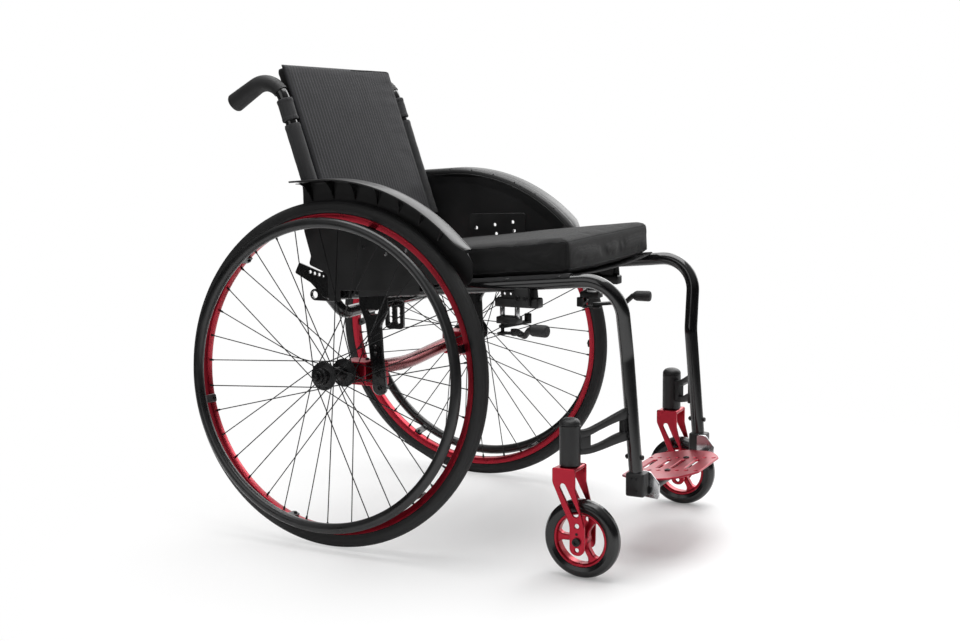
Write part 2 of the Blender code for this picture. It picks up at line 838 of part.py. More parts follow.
def seat_sling():
    """A thin cover over both rails, sagging a little between them."""
    middle = TUBE_RADIUS + GAP + SLING_THICKNESS / 2
    outer = []
    for i in range(6):
        angle = math.radians(35 + 20 * i)
        outer.append(Vector((SEAT_X + middle * math.cos(angle), middle * math.sin(angle))))
    inner_edge = outer[-1]
    span = []
    for i in range(1, 6):
        x = inner_edge.x * (1 - i / 5)
        span.append(Vector((x, inner_edge.y - SLING_SAG * (1 - (x / inner_edge.x) ** 2))))
    half = outer + span
    line = half + [Vector((-p.x, p.y)) for p in reversed(half[:-1])]
    upper = []
    lower = []
    for i, point in enumerate(line):
        along = (line[min(i + 1, len(line) - 1)] - line[max(i - 1, 0)]).normalized()
        normal = Vector((along.y, -along.x)) * SLING_THICKNESS / 2
        upper.append(point + normal)
        lower.append(point - normal)
    rings = []
    for y in (SLING_FRONT_Y, (SLING_FRONT_Y + SLING_REAR_Y) / 2, SLING_REAR_Y):
        rings.append([(p.x, y, seat_z(y) + p.y) for p in upper + list(reversed(lower))])
    return loft(rings)


def cushion_bottom(y, x):
    """The cushion lies on the sling, so its underside follows the hollow between the rails."""
    hollow = SLING_SAG * max(0, 1 - (x / SEAT_X) ** 2)
    return seat_z(y) + TUBE_RADIUS + GAP + SLING_THICKNESS + GAP - hollow - CUSHION_SETTLE


def padded_form(cells, place):
    """A soft form from a grid cage, placed by a function. Its lines crowd to the edges."""
    shape = bmesh.new()
    bmesh.ops.create_cube(shape, size=2)
    for axis, count in enumerate(cells):
        direction = Vector([float(axis == k) for k in range(3)])
        for i in range(1, count):
            cutting = direction * (2 * i / count - 1)
            geometry = list(shape.verts) + list(shape.edges) + list(shape.faces)
            bmesh.ops.bisect_plane(shape, geom=geometry, plane_co=cutting, plane_no=direction)
    for vertex in shape.verts:
        vertex.co = place(*(math.sin(c * math.pi / 2) for c in vertex.co))
    mesh = bpy.data.meshes.new("padded")
    shape.to_mesh(mesh)
    shape.free()
    obj = scratch(mesh)
    soft = obj.modifiers.new("soft", "SUBSURF")
    soft.levels = 1
    soft.render_levels = 1
    return baked(obj)


def seat_cushion():
    """A wedge with a crowned top, sides that draw in between the corners and a front that leans."""

    def place(u, v, w):
        y = (CUSHION_FRONT_Y + CUSHION_REAR_Y) / 2 + v * (CUSHION_REAR_Y - CUSHION_FRONT_Y) / 2
        along = (v + 1) / 2
        top = CUSHION_FRONT_TOP + (CUSHION_REAR_TOP - CUSHION_FRONT_TOP) * along
        low = cushion_bottom(y, u * CUSHION_HALF_WIDTH)
        crown = CUSHION_CROWN * (1 - u * u) * (1 - v**4) * max(w, 0)
        draw = CUSHION_DRAW * (1 - v * v)
        belly = CUSHION_BELLY * (1 - w * w)
        x = u * (CUSHION_HALF_WIDTH - belly - draw)
        z = low + (top - low) * (w + 1) / 2 + crown
        return Vector((x, y, z))

    return padded_form((5, 6, 3), place)


# Side guards


def guard_rim(radius, rear, steps=10):
    """The guard's upper edge as (y, z): an arc about the axle, then a straight run to the rear."""
    first = math.asin(-GUARD_FRONT_Y / GUARD_RADIUS)
    last = -GUARD_TAIL_SLOPE
    arc = []
    for i in range(steps + 1):
        angle = first + (last - first) * i / steps
        arc.append((-radius * math.sin(angle), WHEEL_Z + radius * math.cos(angle)))
    end_y, end_z = arc[-1]
    return arc + [(rear, end_z - (rear - end_y) * math.tan(GUARD_TAIL_SLOPE))]


def side_guard():
    lower = rounded(
        (
            (GUARD_REAR_Y, 0.560, 0),
            (GUARD_REAR_Y, 0.532, 0.020),
            (0.0675, 0.489, 0.006),
            (0.0720, 0.474, 0.004),
            (0.034, 0.460, 0.010),
            (0.033, 0.413, 0.004),
            (0.009, 0.413, 0.004),
            (0.009, 0.432, 0),
            (-0.093, 0.437, 0),
            (-0.170, 0.452, 0.020),
            (GUARD_FRONT_Y, 0.452, 0.014),
            (GUARD_FRONT_Y, 0.495, 0),
        )
    )
    outline = guard_rim(GUARD_RADIUS, GUARD_REAR_Y) + lower
    holes = [ring(place, GUARD_HOLE_RADIUS, 6) for place in GUARD_HOLES]
    panel = side_plate(outline, GUARD_X + GUARD_WALL / 2, GUARD_WALL, holes)
    rim = guard_rim(GUARD_RADIUS, GUARD_TIP_Y)
    under = guard_rim(GUARD_RADIUS - GUARD_LIP_THICKNESS, GUARD_TIP_Y)
    lip = side_plate(rim + under[::-1], GUARD_X + GUARD_LIP_WIDTH / 2, GUARD_LIP_WIDTH)
    wall = GUARD_X + GUARD_WALL - 0.001
    top = GUARD_RADIUS - GUARD_LIP_THICKNESS + 0.001
    triangle = (
        (wall, top),
        (GUARD_X + GUARD_LIP_WIDTH - 0.001, top),
        (wall, top - GUSSET_HEIGHT),
    )
    upright = Matrix.Rotation(math.pi / 2, 4, "X")
    gussets = []
    for i in range(GUSSET_COUNT):
        angle = GUSSET_FIRST + i * GUSSET_PITCH
        fin = moved(plate(triangle, GUSSET_THICKNESS), rotation=upright)
        gussets.append(moved(fin, (0, 0, WHEEL_Z), Matrix.Rotation(angle, 4, "X")))
    return joined(panel, lip, *gussets)


def guard_bracket():
    """A thin upright plate inside the guard, with a foot that reaches the seat rail."""
    outer = GUARD_X - GAP
    inner = outer - BRACKET_WALL
    outline = rounded(
        (
            (BRACKET_REAR_Y, 0.536, 0.006),
            (BRACKET_REAR_Y, seat_z(BRACKET_REAR_Y) - 0.006, 0.003),
            (BRACKET_FRONT_Y, seat_z(BRACKET_FRONT_Y) - 0.006, 0.003),
            (BRACKET_FRONT_Y, 0.540, 0.006),
        )
    )
    holes = [ring(place, GUARD_HOLE_RADIUS, 6) for place in GUARD_HOLES]
    upright = side_plate(outline, (outer + inner) / 2, outer - inner, holes)
    start = SEAT_X + 0.004
    low = -0.005
    high = 0.010
    foot = loft(
        [
            [
                (start, y, seat_z(y) + low),
                (inner + 0.001, y, seat_z(y) + low),
                (inner + 0.001, y, seat_z(y) + high),
                (start, y, seat_z(y) + high),
            ]
            for y in (BRACKET_FRONT_Y + 0.006, BRACKET_REAR_Y - 0.006)
        ]
    )
    return cut(joined(upright, foot), rail_cutter(2 * GAP + SLING_THICKNESS, sides=24))


# Backrest, in the frame of its hinge: +Z up the cane, -Y to the front


def handle_path(first_turn, short, steps):
    """The bend at the cane's top from one turn on, and the straight run to near its rear end."""
    path = []
    for i in range(steps + 1):
        turn = first_turn + (HANDLE_TURN - first_turn) * i / steps
        y = HANDLE_BEND * (1 - math.cos(turn))
        path.append(Vector((0, y, CANE_STRAIGHT + HANDLE_BEND * math.sin(turn))))
    heading = Vector((0, math.sin(HANDLE_TURN), math.cos(HANDLE_TURN)))
    run = (HANDLE_REACH - path[-1].y) / heading.y - short
    path.append(path[-1] + heading * run)
    return path


def back_cane():
    """The cane's lug on the pivot, its straight run and the bend back to the grip."""
    bar = tube([Vector((0, 0, 0.024)), *handle_path(0, GRIP_END_WALL, 5)], CANE_RADIUS, 2)
    hole = ring((0, 0), HINGE_PIN_RADIUS + RUNNING_GAP, 10)
    lug = side_plate(slot((0, 0), (0, LUG_HEIGHT), LUG_WIDTH, 6), LUG_X, LUG_THICKNESS, [hole])
    return joined(bar, lug)


def push_grip():
    """A moulded sleeve on the end of the cane's bend, closed at the rear."""
    sleeve = tube(handle_path(GRIP_FIRST_TURN, 0, 4), GRIP_RADIUS, 2)
    bore = tube(handle_path(GRIP_FIRST_TURN - 0.2, GRIP_END_WALL - GAP, 5), CANE_RADIUS + 2 * GAP, 2)
    return cut(sleeve, bore)


def back_upholstery():
    """The padded panel between the canes, with a loop of cover round each cane."""
    front = -PAD_FRONT_OFFSET

    def place(u, v, w):
        height = (PAD_LOW + PAD_HIGH) / 2 + w * (PAD_HIGH - PAD_LOW) / 2
        edge = max(abs(u), abs(w))
        belly = PAD_BELLY * (1 - u * u) * (1 - w**4)
        depth = PAD_THICKNESS * (1 - 0.10 * edge**6)
        y = front + (v + 1) / 2 * depth - (belly if v < 0 else 0)
        x = u * (PAD_HALF_WIDTH - 0.003 * (1 - w * w))
        return Vector((x, y, height))

    panel = padded_form((5, 1, 6), place)
    loops = []
    channels = []
    for sign in SIDES.values():
        x = sign * CANE_X
        web_x = sign * (PAD_HALF_WIDTH + CANE_X) / 2
        web_size = (CANE_X - PAD_HALF_WIDTH + 0.026, WEB_THICKNESS, SLEEVE_TOP - SLEEVE_LOW - 0.004)
        loops.append(box(web_size, (web_x, -0.001, (SLEEVE_TOP + SLEEVE_LOW) / 2)))
        loops.append(rod((x, 0, SLEEVE_LOW), (x, 0, SLEEVE_TOP), SLEEVE_RADIUS, 12))
        channels.append(rod((x, 0, 0), (x, 0, CANE_STRAIGHT + 0.05), CANE_RADIUS + 2 * GAP, 12))
    return cut(joined(panel, *loops), *channels)


# Rear wheel, in its own frame: +Z outboard along the axle


def tyre():
    middle = WHEEL_RADIUS - TYRE_SECTION
    return turned(ring((middle, 0), TYRE_SECTION, TYRE_SIDES), WHEEL_STEPS)


def rim():
    seat = RIM_EDGE - RIM_SEAT_DROP
    half = RIM_HALF_WIDTH
    inner = RIM_EDGE - RIM_DEPTH
    return turned(
        (
            (RIM_EDGE, half),
            (inner, half * 0.7),
            (inner, -half * 0.7),
            (RIM_EDGE, -half),
            (seat, -half * 0.45),
            (seat, half * 0.45),
        ),
        WHEEL_STEPS,
    )


def rim_inner_flat():
    """How near the axle the faceted rim comes."""
    return (RIM_EDGE - RIM_DEPTH) * math.cos(math.pi / WHEEL_STEPS)


def hub():
    """The hub shell with its spokes, laced over three others."""
    bore = PIN_RADIUS + RUNNING_GAP
    half = FLANGE_THICKNESS / 2
    profile = (
        (bore, HUB_HALF_LENGTH),
        (HUB_CAP_RADIUS - 0.002, HUB_HALF_LENGTH),
        (HUB_CAP_RADIUS, HUB_HALF_LENGTH - 0.002),
        (HUB_CAP_RADIUS, OUTER_FLANGE + half),
        (FLANGE_RADIUS, OUTER_FLANGE + half),
        (FLANGE_RADIUS, OUTER_FLANGE - half),
        (HUB_BARREL_RADIUS, OUTER_FLANGE - half),
        (HUB_BARREL_RADIUS, INNER_FLANGE + half),
        (FLANGE_RADIUS, INNER_FLANGE + half),
        (FLANGE_RADIUS, INNER_FLANGE - half),
        (HUB_CAP_RADIUS, INNER_FLANGE - half),
        (HUB_CAP_RADIUS, -HUB_HALF_LENGTH),
        (bore, -HUB_HALF_LENGTH),
    )
    shell = turned(profile, 12)
    spokes = bmesh.new()
    hole_radius = FLANGE_RADIUS - 0.003
    end_radius = rim_inner_flat() - GAP
    for i in range(SPOKE_COUNT):
        angle = 2 * math.pi * i / SPOKE_COUNT
        outboard = i % 2 == 0
        leading = (i // 2) % 2 == 0
        lane = SPOKE_LANE if leading else -SPOKE_LANE
        flange = (OUTER_FLANGE if outboard else INNER_FLANGE) + lane
        at_rim = (SPOKE_RIM_OFFSET if outboard else -SPOKE_RIM_OFFSET) + lane
        root = angle - SPOKE_CROSS if leading else angle + SPOKE_CROSS
        start = Vector((hole_radius * math.cos(root), hole_radius * math.sin(root), flange))
        end = Vector((end_radius * math.cos(angle), end_radius * math.sin(angle), at_rim))
        spokes.from_mesh(rod(start, end, SPOKE_RADIUS, SPOKE_SIDES))
    mesh = bpy.data.meshes.new("spokes")
    spokes.to_mesh(mesh)
    spokes.free()
    return joined(shell, mesh)


def handrim():
    """The push hoop, with tabs that reach under the rim's outboard edge."""
    hoop = turned(ring((HANDRIM_RADIUS, HANDRIM_OFFSET), HANDRIM_TUBE, 6), WHEEL_STEPS)
    outer = rim_inner_flat() - GAP
    reach = HANDRIM_OFFSET + 0.004
    tabs = []
    for i in range(TAB_COUNT):
        size = (TAB_THICKNESS, TAB_WIDTH, reach)
        tab = box(size, (outer - 0.0004 - TAB_THICKNESS / 2, 0, reach / 2 - 0.004))
        turn = TAB_PHASE + 2 * math.pi * i / TAB_COUNT
        tabs.append(moved(tab, rotation=Matrix.Rotation(turn, 4, "Z")))
    return joined(hoop, *tabs)


def axle_pin():
    """The quick-release pin: a head outside the hub, and a bore for its button."""
    face = HUB_HALF_LENGTH + GAP
    head = face + PIN_HEAD_LENGTH
    bore = BUTTON_RADIUS + RUNNING_GAP
    depth = button_inner_end() - BUTTON_TRAVEL - RUNNING_GAP
    profile = (
        (0, depth),
        (bore, depth),
        (bore, head),
        (PIN_HEAD_RADIUS - 0.001, head),
        (PIN_HEAD_RADIUS, head - 0.001),
        (PIN_HEAD_RADIUS, face),
        (PIN_RADIUS, face),
        (PIN_RADIUS, 0.001 - PIN_REACH),
        (PIN_RADIUS - 0.001, -PIN_REACH),
        (0, -PIN_REACH),
    )
    return turned(profile, 12, closed=False)


def button_inner_end():
    return HUB_HALF_LENGTH + GAP + PIN_HEAD_LENGTH + BUTTON_PROUD - BUTTON_LENGTH


def release_button():
    """Its origin is at its inner end."""
    profile = (
        (0, BUTTON_LENGTH),
        (BUTTON_RADIUS - 0.0012, BUTTON_LENGTH),
        (BUTTON_RADIUS, BUTTON_LENGTH - 0.0012),
        (BUTTON_RADIUS, 0),
        (0, 0),
    )
    return turned(profile, 12, closed=False)


# Casters. The fork's frame has its origin on the floor under the swivel, the wheel's on its axle


def caster_fork():
    trail = -CASTER_TRAIL
    low = CASTER_RADIUS - 0.0226
    leg = rounded(
        (
            (FORK_REAR, FORK_TOP, 0),
            (FORK_REAR, FORK_TOP - 0.0235, 0.010),
            (trail + DROPOUT_RADIUS, CASTER_RADIUS + 0.0264, 0.020),
            (trail + DROPOUT_RADIUS, low, DROPOUT_RADIUS - 0.001),
            (trail - DROPOUT_RADIUS, low, DROPOUT_RADIUS - 0.001),
            (trail - DROPOUT_RADIUS - 0.001, CASTER_RADIUS + 0.0214, 0.020),
            (FORK_FRONT, FORK_TOP - 0.0295, 0.010),
            (FORK_FRONT, FORK_TOP, 0),
        )
    )
    holes = [
        slot((0.0025, FORK_TOP - 0.0290), (trail + 0.0020, CASTER_RADIUS + 0.0444), 0.0100, 3),
        ring((trail, CASTER_RADIUS + 0.0254), 0.0040, 6),
        ring((trail, CASTER_RADIUS + 0.0124), 0.0020, 6),
        ring((trail, CASTER_RADIUS), CASTER_AXLE_RADIUS + RUNNING_GAP, 10),
        ring((trail, CASTER_RADIUS - 0.0136), 0.0035, 6),
    ]
    middle = FORK_HALF_WIDTH - FORK_WALL / 2
    legs = [side_plate(leg, side * middle, FORK_WALL, holes) for side in (-1, 1)]
    crown = box(
        (2 * FORK_HALF_WIDTH - 0.0012, FORK_REAR - FORK_FRONT - 0.001, FORK_CROWN),
        (0, (FORK_REAR + FORK_FRONT) / 2, FORK_TOP - FORK_CROWN / 2 - 0.0004),
    )
    stem = rod((0, 0, FORK_TOP - 0.003), (0, 0, FORK_TOP + STEM_LENGTH), STEM_RADIUS, 12)
    return joined(crown, *legs, stem)


def caster_tyre():
    half = CASTER_TYRE_HALF
    seat = CASTER_RIM_RADIUS + GAP
    profile = (
        (CASTER_RADIUS, 0),
        (CASTER_RADIUS - 0.0030, -0.0085),
        (CASTER_RADIUS - 0.0110, -half),
        (seat, -half + 0.0030),
        (seat, half - 0.0030),
        (CASTER_RADIUS - 0.0110, half),
        (CASTER_RADIUS - 0.0030, 0.0085),
    )
    return turned(profile, CASTER_STEPS)


def caster_rim():
    """Three broad spokes between the hub and the rim's band."""
    outer = CASTER_RIM_RADIUS
    inner = outer - CASTER_RIM_WALL
    half = CASTER_RIM_HALF
    band = turned(((outer, half), (outer, -half), (inner, -half), (inner, half)), CASTER_STEPS)
    hub_half = FORK_HALF_WIDTH - FORK_WALL - RUNNING_GAP
    bore = CASTER_AXLE_RADIUS + RUNNING_GAP
    profile = (
        (CASTER_HUB_RADIUS, 0.0080),
        (CASTER_HUB_RADIUS, -0.0080),
        (0.0072, -hub_half),
        (bore, -hub_half),
        (bore, hub_half),
        (0.0072, hub_half),
    )
    core = turned(profile, 12)
    spokes = []
    reach = inner + 0.0015
    for i in range(CASTER_SPOKES):
        arm = plate(((0.0100, -0.0070), (reach, -0.0095), (reach, 0.0095), (0.0100, 0.0070)), 0.0120)
        turn = CASTER_SPIN + 2 * math.pi * i / CASTER_SPOKES
        spokes.append(moved(arm, rotation=Matrix.Rotation(turn, 4, "Z")))
    return joined(band, core, *spokes)


def caster_axle():
    """A bolt through the fork's legs, with its head outboard and a nut inboard."""
    side = FORK_HALF_WIDTH + GAP
    profile = (
        (0, side + 0.0040),
        (CASTER_AXLE_HEAD - 0.0008, side + 0.0040),
        (CASTER_AXLE_HEAD, side + 0.0032),
        (CASTER_AXLE_HEAD, side),
        (CASTER_AXLE_RADIUS, side),
        (CASTER_AXLE_RADIUS, -side),
        (CASTER_AXLE_HEAD, -side),
        (CASTER_AXLE_HEAD, -side - 0.0045),
        (0, -side - 0.0045),
    )
    return turned(profile, 12, closed=False)


# Brakes


def brake_mount():
    """A clamp and a web on the rail, a bar, two posts, and a block and a strap that hold both pivots."""
    clamp_z = seat_z(BRAKE_CLAMP_Y) - BRAKE_CLAMP_DROP
    clamp = box(BRAKE_CLAMP_SIZE, (SEAT_X, BRAKE_CLAMP_Y, clamp_z), 0.002, 1)
    bar = box(BRAKE_BAR_SIZE, (BRAKE_X, BRAKE_BAR_Y, BRAKE_BAR_Z))
    rear_low, rear_high = BRAKE_WEB_REAR_Y
    front_low, front_high = BRAKE_WEB_FRONT_Y
    web_outline = (
        (rear_low, BRAKE_BAR_Z),
        (rear_high, seat_z(rear_high)),
        (front_high, seat_z(front_high)),
        (front_low, BRAKE_BAR_Z),
    )
    hole_z = BRAKE_BAR_Z + BRAKE_WEB_HOLE_RISE
    web_holes = [ring((y, hole_z), BRAKE_WEB_HOLE_RADIUS, 6) for y in BRAKE_WEB_HOLE_Y]
    web = side_plate(web_outline, BRAKE_WEB_X, BRAKE_WEB_THICKNESS, web_holes)
    low, high = BRAKE_POST_Z
    posts = [
        rod((BRAKE_X, y, low), (BRAKE_X, y, high), BRAKE_POST_RADIUS, 8)
        for y in (BRAKE_SHOE_Y, BRAKE_SHOE_Y - BRAKE_POST_GAP)
    ]
    block_low = shoe_level() + BRAKE_BLOCK_CLEARANCE
    block = box(
        (*BRAKE_BLOCK_SIZE, BRAKE_BLOCK_TOP - block_low),
        (BRAKE_X, BRAKE_BLOCK_Y, (BRAKE_BLOCK_TOP + block_low) / 2),
    )
    strap_top = BRAKE_PLATE_Z - BRAKE_PLATE_THICKNESS / 2 - RUNNING_GAP
    strap_low = strap_top - BRAKE_STRAP_SIZE[2]
    strap = box(BRAKE_STRAP_SIZE, (BRAKE_X, BRAKE_BLOCK_Y, (strap_top + strap_low) / 2))
    lever_top = BRAKE_PLATE_Z + BRAKE_PLATE_THICKNESS / 2
    pins = []
    for y, top in ((BRAKE_SHOE_Y, block_low + 0.002), (BRAKE_LEVER_Y, lever_top)):
        pins.append(rod((BRAKE_X, y, strap_low), (BRAKE_X, y, top), BRAKE_PIN_RADIUS, 8))
        head_low = strap_low - 0.002
        pins.append(rod((BRAKE_X, y, head_low), (BRAKE_X, y, strap_top - 0.001), BRAKE_PIN_HEAD, 8))
    return cut(joined(clamp, web, bar, *posts, block, strap, *pins), rail_cutter())


def shoe_level():
    """The shoe arm swings above the lever."""
    return BRAKE_PLATE_Z + BRAKE_PLATE_THICKNESS + RUNNING_GAP


def brake_lever():
    """In the frame of its pivot: a flat arm that rises into the grip's rod."""
    hole = ring((0, 0), BRAKE_PIN_RADIUS + GAP, 8)
    arm = plate(slot((0, 0), LEVER_ARM_END, LEVER_WIDTH, 4), BRAKE_PLATE_THICKNESS, [hole])
    corners = (LEVER_ROD_START, LEVER_ROD_BEND, LEVER_GRIP_START, LEVER_GRIP_END)
    path = bent(corners, (0.010, LEVER_GRIP_BEND), 3)
    return joined(arm, tube(path, LEVER_ROD_RADIUS, 1))


def brake_grip():
    heading = LEVER_GRIP_END - LEVER_GRIP_START
    length = heading.length
    bore = LEVER_ROD_RADIUS + 0.0004
    profile = (
        (bore, 0.002),
        (0.0070, 0.002),
        (0.0098, 0.006),
        (0.0100, length + 0.001),
        (0.0085, length + 0.004),
        (0, length + 0.005),
        (0, length + GAP),
        (bore, length + GAP),
    )
    return moved(turned(profile, 12), LEVER_GRIP_START, aim(heading))


def brake_shoe():
    """In the frame of its pivot: a flat arm with the upright peg that presses on the tyre."""
    hole = ring((0, 0), BRAKE_PIN_RADIUS + GAP, 8)
    arm = plate(slot((0, 0), (SHOE_ARM, 0), SHOE_WIDTH, 4), BRAKE_PLATE_THICKNESS - 0.0005, [hole])
    peg = rod((SHOE_ARM, 0, -0.002), (SHOE_ARM, 0, PEG_HEIGHT), PEG_RADIUS, 12)
    return moved(joined(arm, peg), rotation=Matrix.Rotation(SHOE_REST, 4, "Z"))


# Footrest


def footrest_tube():
    low = LEG_END - leg_axis() * (LEG_END.z - FOOT_CLAMP_BOTTOM - 0.002)
    return rod(low, LEG_END + leg_axis() * LOWER_TUBE_INSERTED, LOWER_TUBE_RADIUS, 16)


def clamp_inner_x():
    return LEG_X - FOOT_CLAMP_HALF_WIDTH


def footrest_clamp():
    top = LEG_END.z - 0.0012
    low = FOOT_CLAMP_BOTTOM
    size = (2 * FOOT_CLAMP_HALF_WIDTH, FOOT_CLAMP_DEPTH, top - low)
    block = box(size, (LEG_X, FOOT_CLAMP_Y, (top + low) / 2), 0.003, 2)
    bore = rod(
        LEG_END - leg_axis() * 0.06, LEG_END + leg_axis() * 0.02, LOWER_TUBE_RADIUS + GAP, 16
    )
    return cut(block, bore)


def footrest_bracket():
    """The upright plate that carries the footplate's bar on a bolt."""
    outline = rounded(
        (
            (-0.5140, 0.158, 0.004),
            (-0.5140, 0.118, 0.004),
            (-0.5390, 0.118, 0.010),
            (-0.5390, 0.140, 0.010),
            (-0.5270, 0.158, 0.008),
        )
    )
    x = clamp_inner_x() - GAP - FOOT_BRACKET_THICKNESS / 2
    bolt_hole = ring((FOOT_BAR_Y, FOOT_BAR_Z), FOOT_PIN_RADIUS + 0.0004, 12)
    return side_plate(outline, x, FOOT_BRACKET_THICKNESS, [bolt_hole])


def footrest_bar():
    """In the frame of its own axis: the round bar with a pivot pin at each end."""
    end = clamp_inner_x() - GAP - FOOT_BRACKET_THICKNESS - RUNNING_GAP
    tip = end + FOOT_BRACKET_THICKNESS + 0.0004
    bar = rod((-end, 0, 0), (end, 0, 0), FOOT_BAR_RADIUS, 12)
    pin = rod((-tip, 0, 0), (tip, 0, 0), FOOT_PIN_RADIUS, 10)
    return joined(bar, pin)


def footplate():
    """In the frame of the bar's axis: a flat plate, toe up, with two rows of holes and four slots."""
    half = (
        (0.080, FOOTPLATE_REAR_Y, 0.006),
        (0.092, -0.472, 0.006),
        (0.111, -0.511, 0.006),
        (0.106, -0.531, 0.004),
        (0.102, -0.547, 0.004),
        (0.090, -0.562, 0.006),
        (0.067, -0.577, 0.006),
        (0.052, FOOTPLATE_FRONT_Y, 0.004),
    )
    corners = [(x, y - FOOT_BAR_Y, r) for x, y, r in half]
    corners += [(-x, y - FOOT_BAR_Y, r) for x, y, r in reversed(half)]
    holes = []
    for x in (-FOOTPLATE_HOLE_X, FOOTPLATE_HOLE_X):
        for i in range(FOOTPLATE_HOLES):
            if i != 4:
                y = FOOTPLATE_REAR_Y - 0.004 - FOOTPLATE_HOLE_PITCH * i
                holes.append(ring((x, y - FOOT_BAR_Y), 0.0036, 6))
    for i in range(FOOTPLATE_SLOTS):
        y = FOOTPLATE_SLOT_FIRST_Y - FOOTPLATE_SLOT_PITCH * i
        end = Vector((FOOTPLATE_SLOT_REACH, y - FOOT_BAR_Y))
        holes.append(slot((-end.x, end.y), end, FOOTPLATE_SLOT_WIDTH, 3))
    pitch = Matrix.Rotation(-math.atan(FOOTPLATE_PITCH), 4, "X")
    rise = FOOT_BAR_RADIUS + GAP + FOOTPLATE_THICKNESS / 2
    blank = plate(rounded(corners), FOOTPLATE_THICKNESS, holes)
    return moved(blank, pitch @ Vector((0, 0, rise)), pitch)


# Assembly


def build_frame(chair):
    add("rear_cross_tube", rear_cross_tube(), "frame_black", chair)
    add("camber_tube", camber_tube(), "red_anodised", chair)
    add("seat_sling", seat_sling(), "seat_fabric", chair)
    add("seat_cushion", seat_cushion(), "seat_fabric", chair)
    for side in SIDES:
        add(f"side_frame_{side}", on_side(side_frame(), side), "frame_black", chair)
        add(f"axle_support_{side}", on_side(axle_support(), side), "frame_black", chair)
        add(f"axle_clamp_{side}", on_side(axle_clamp(), side), "red_anodised", chair)
        add(f"caster_arm_{side}", on_side(caster_arm(), side), "frame_black", chair)
        add(f"hinge_plate_{side}", on_side(hinge_plate(), side), "frame_black", chair)
        add(f"side_guard_{side}", on_side(side_guard(), side), "guard_plastic", chair)
        add(f"guard_bracket_{side}", on_side(guard_bracket(), side), "black_plastic", chair)
        add(f"brake_mount_{side}", on_side(brake_mount(), side), "black_plastic", chair)


def wheel_turn(sign):
    """The wheel's frame: +X to the front, +Z outboard along the cambered axle."""
    outboard = Vector((sign * math.cos(CAMBER), 0, math.sin(CAMBER)))
    front = Vector((0, -1, 0))
    up = outboard.cross(front)
    return Matrix((front, up, outboard)).transposed().to_4x4()


def build_wheels(chair):
    for side, sign in SIDES.items():
        turn = wheel_turn(sign)
        centre = Vector((sign * WHEEL_X, 0, WHEEL_Z))
        wheel = pivot(f"wheel_{side}", centre, chair, turn)
        spin = Matrix.Rotation(WHEEL_SPIN[side], 4, "Z")
        add(f"tyre_{side}", tyre(), "rubber", wheel)
        add(f"rim_{side}", rim(), "red_anodised", wheel)
        add(f"hub_{side}", hub(), "spoke_black", wheel, rotation=spin)
        add(f"handrim_{side}", handrim(), "handrim_black", wheel, rotation=spin)
        axle = pivot(f"axle_{side}", centre, chair, turn)
        add(f"axle_pin_{side}", axle_pin(), "steel", axle)
        add(f"release_button_{side}", release_button(), "steel", axle, (0, 0, button_inner_end()))


def build_casters(chair):
    across = Matrix.Rotation(math.pi / 2, 4, "Y")
    for side, sign in SIDES.items():
        swivel = pivot(f"swivel_{side}", (sign * CASTER_X, CASTER_Y, 0), chair)
        add(f"caster_fork_{side}", caster_fork(), "red_anodised", swivel)
        axle = pivot(f"caster_{side}", (0, -CASTER_TRAIL, CASTER_RADIUS), swivel, across)
        add(f"caster_axle_{side}", caster_axle(), "steel", axle)
        add(f"caster_rim_{side}", caster_rim(), "red_anodised", axle)
        add(f"caster_tyre_{side}", caster_tyre(), "rubber", axle)


def build_backrest(chair):
    lean = Matrix.Rotation(-RECLINE, 4, "X")
    hinge = pivot("backrest", (0, HINGE_Y, HINGE_Z), chair, lean)
    for side, sign in SIDES.items():
        at = (sign * CANE_X, 0, 0)
        add(f"back_cane_{side}", on_side(back_cane(), side), "frame_black", hinge, at)
        add(f"push_grip_{side}", push_grip(), "rubber", hinge, at)
    add("back_upholstery", back_upholstery(), "back_fabric", hinge)


def build_brakes(chair):
    for side, sign in SIDES.items():
        lever = pivot(f"lever_{side}", (sign * BRAKE_X, BRAKE_LEVER_Y, BRAKE_PLATE_Z), chair)
        add(f"brake_lever_{side}", on_side(brake_lever(), side), "frame_black", lever)
        add(f"brake_grip_{side}", on_side(brake_grip(), side), "rubber", lever)
        shoe = pivot(f"shoe_{side}", (sign * BRAKE_X, BRAKE_SHOE_Y, shoe_level()), chair)
        add(f"brake_shoe_{side}", on_side(brake_shoe(), side), "steel", shoe)


def build_footrest(chair):
    slide = pivot("footrest", (0, 0, 0), chair)
    for side in SIDES:
        add(f"footrest_tube_{side}", on_side(footrest_tube(), side), "frame_black", slide)
        add(f"footrest_clamp_{side}", on_side(footrest_clamp(), side), "black_plastic", slide)
        add(f"footrest_bracket_{side}", on_side(footrest_bracket(), side), "steel", slide)
    tilt = pivot("foot_tilt", (0, FOOT_BAR_Y, FOOT_BAR_Z), slide)
    add("footrest_bar", footrest_bar(), "black_plastic", tilt)
    add("footplate", footplate(), "red_anodised", tilt)


clear_scene()
CHAIR = bpy.data.collections.new("rigid_wheelchair")
bpy.context.scene.collection.children.link(CHAIR)
for material_name in MATERIALS:
    make_material(material_name)
ROOT = pivot("chair", (0, AXLE_Y, 0))
build_frame(ROOT)
build_wheels(ROOT)
build_casters(ROOT)
build_backrest(ROOT)
build_brakes(ROOT)
build_footrest(ROOT)
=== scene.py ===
# The looks of a rigid wheelchair: finishes, fabric, fasteners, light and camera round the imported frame.
#
# Axes: +X to the user's left, -Y to the front, +Z up from the floor, in metres. Y is measured from the
# rear axle here, and the matrix CHAIR moves it into the frame. A shape is a pair, its points and its
# faces. Left pieces are drawn and mirrored for the right. Wheels and casters are placed once for each side.

import json
import math

import bmesh
import bpy
from mathutils import Matrix, Vector, geometry, noise
from mathutils.bvhtree import BVHTree


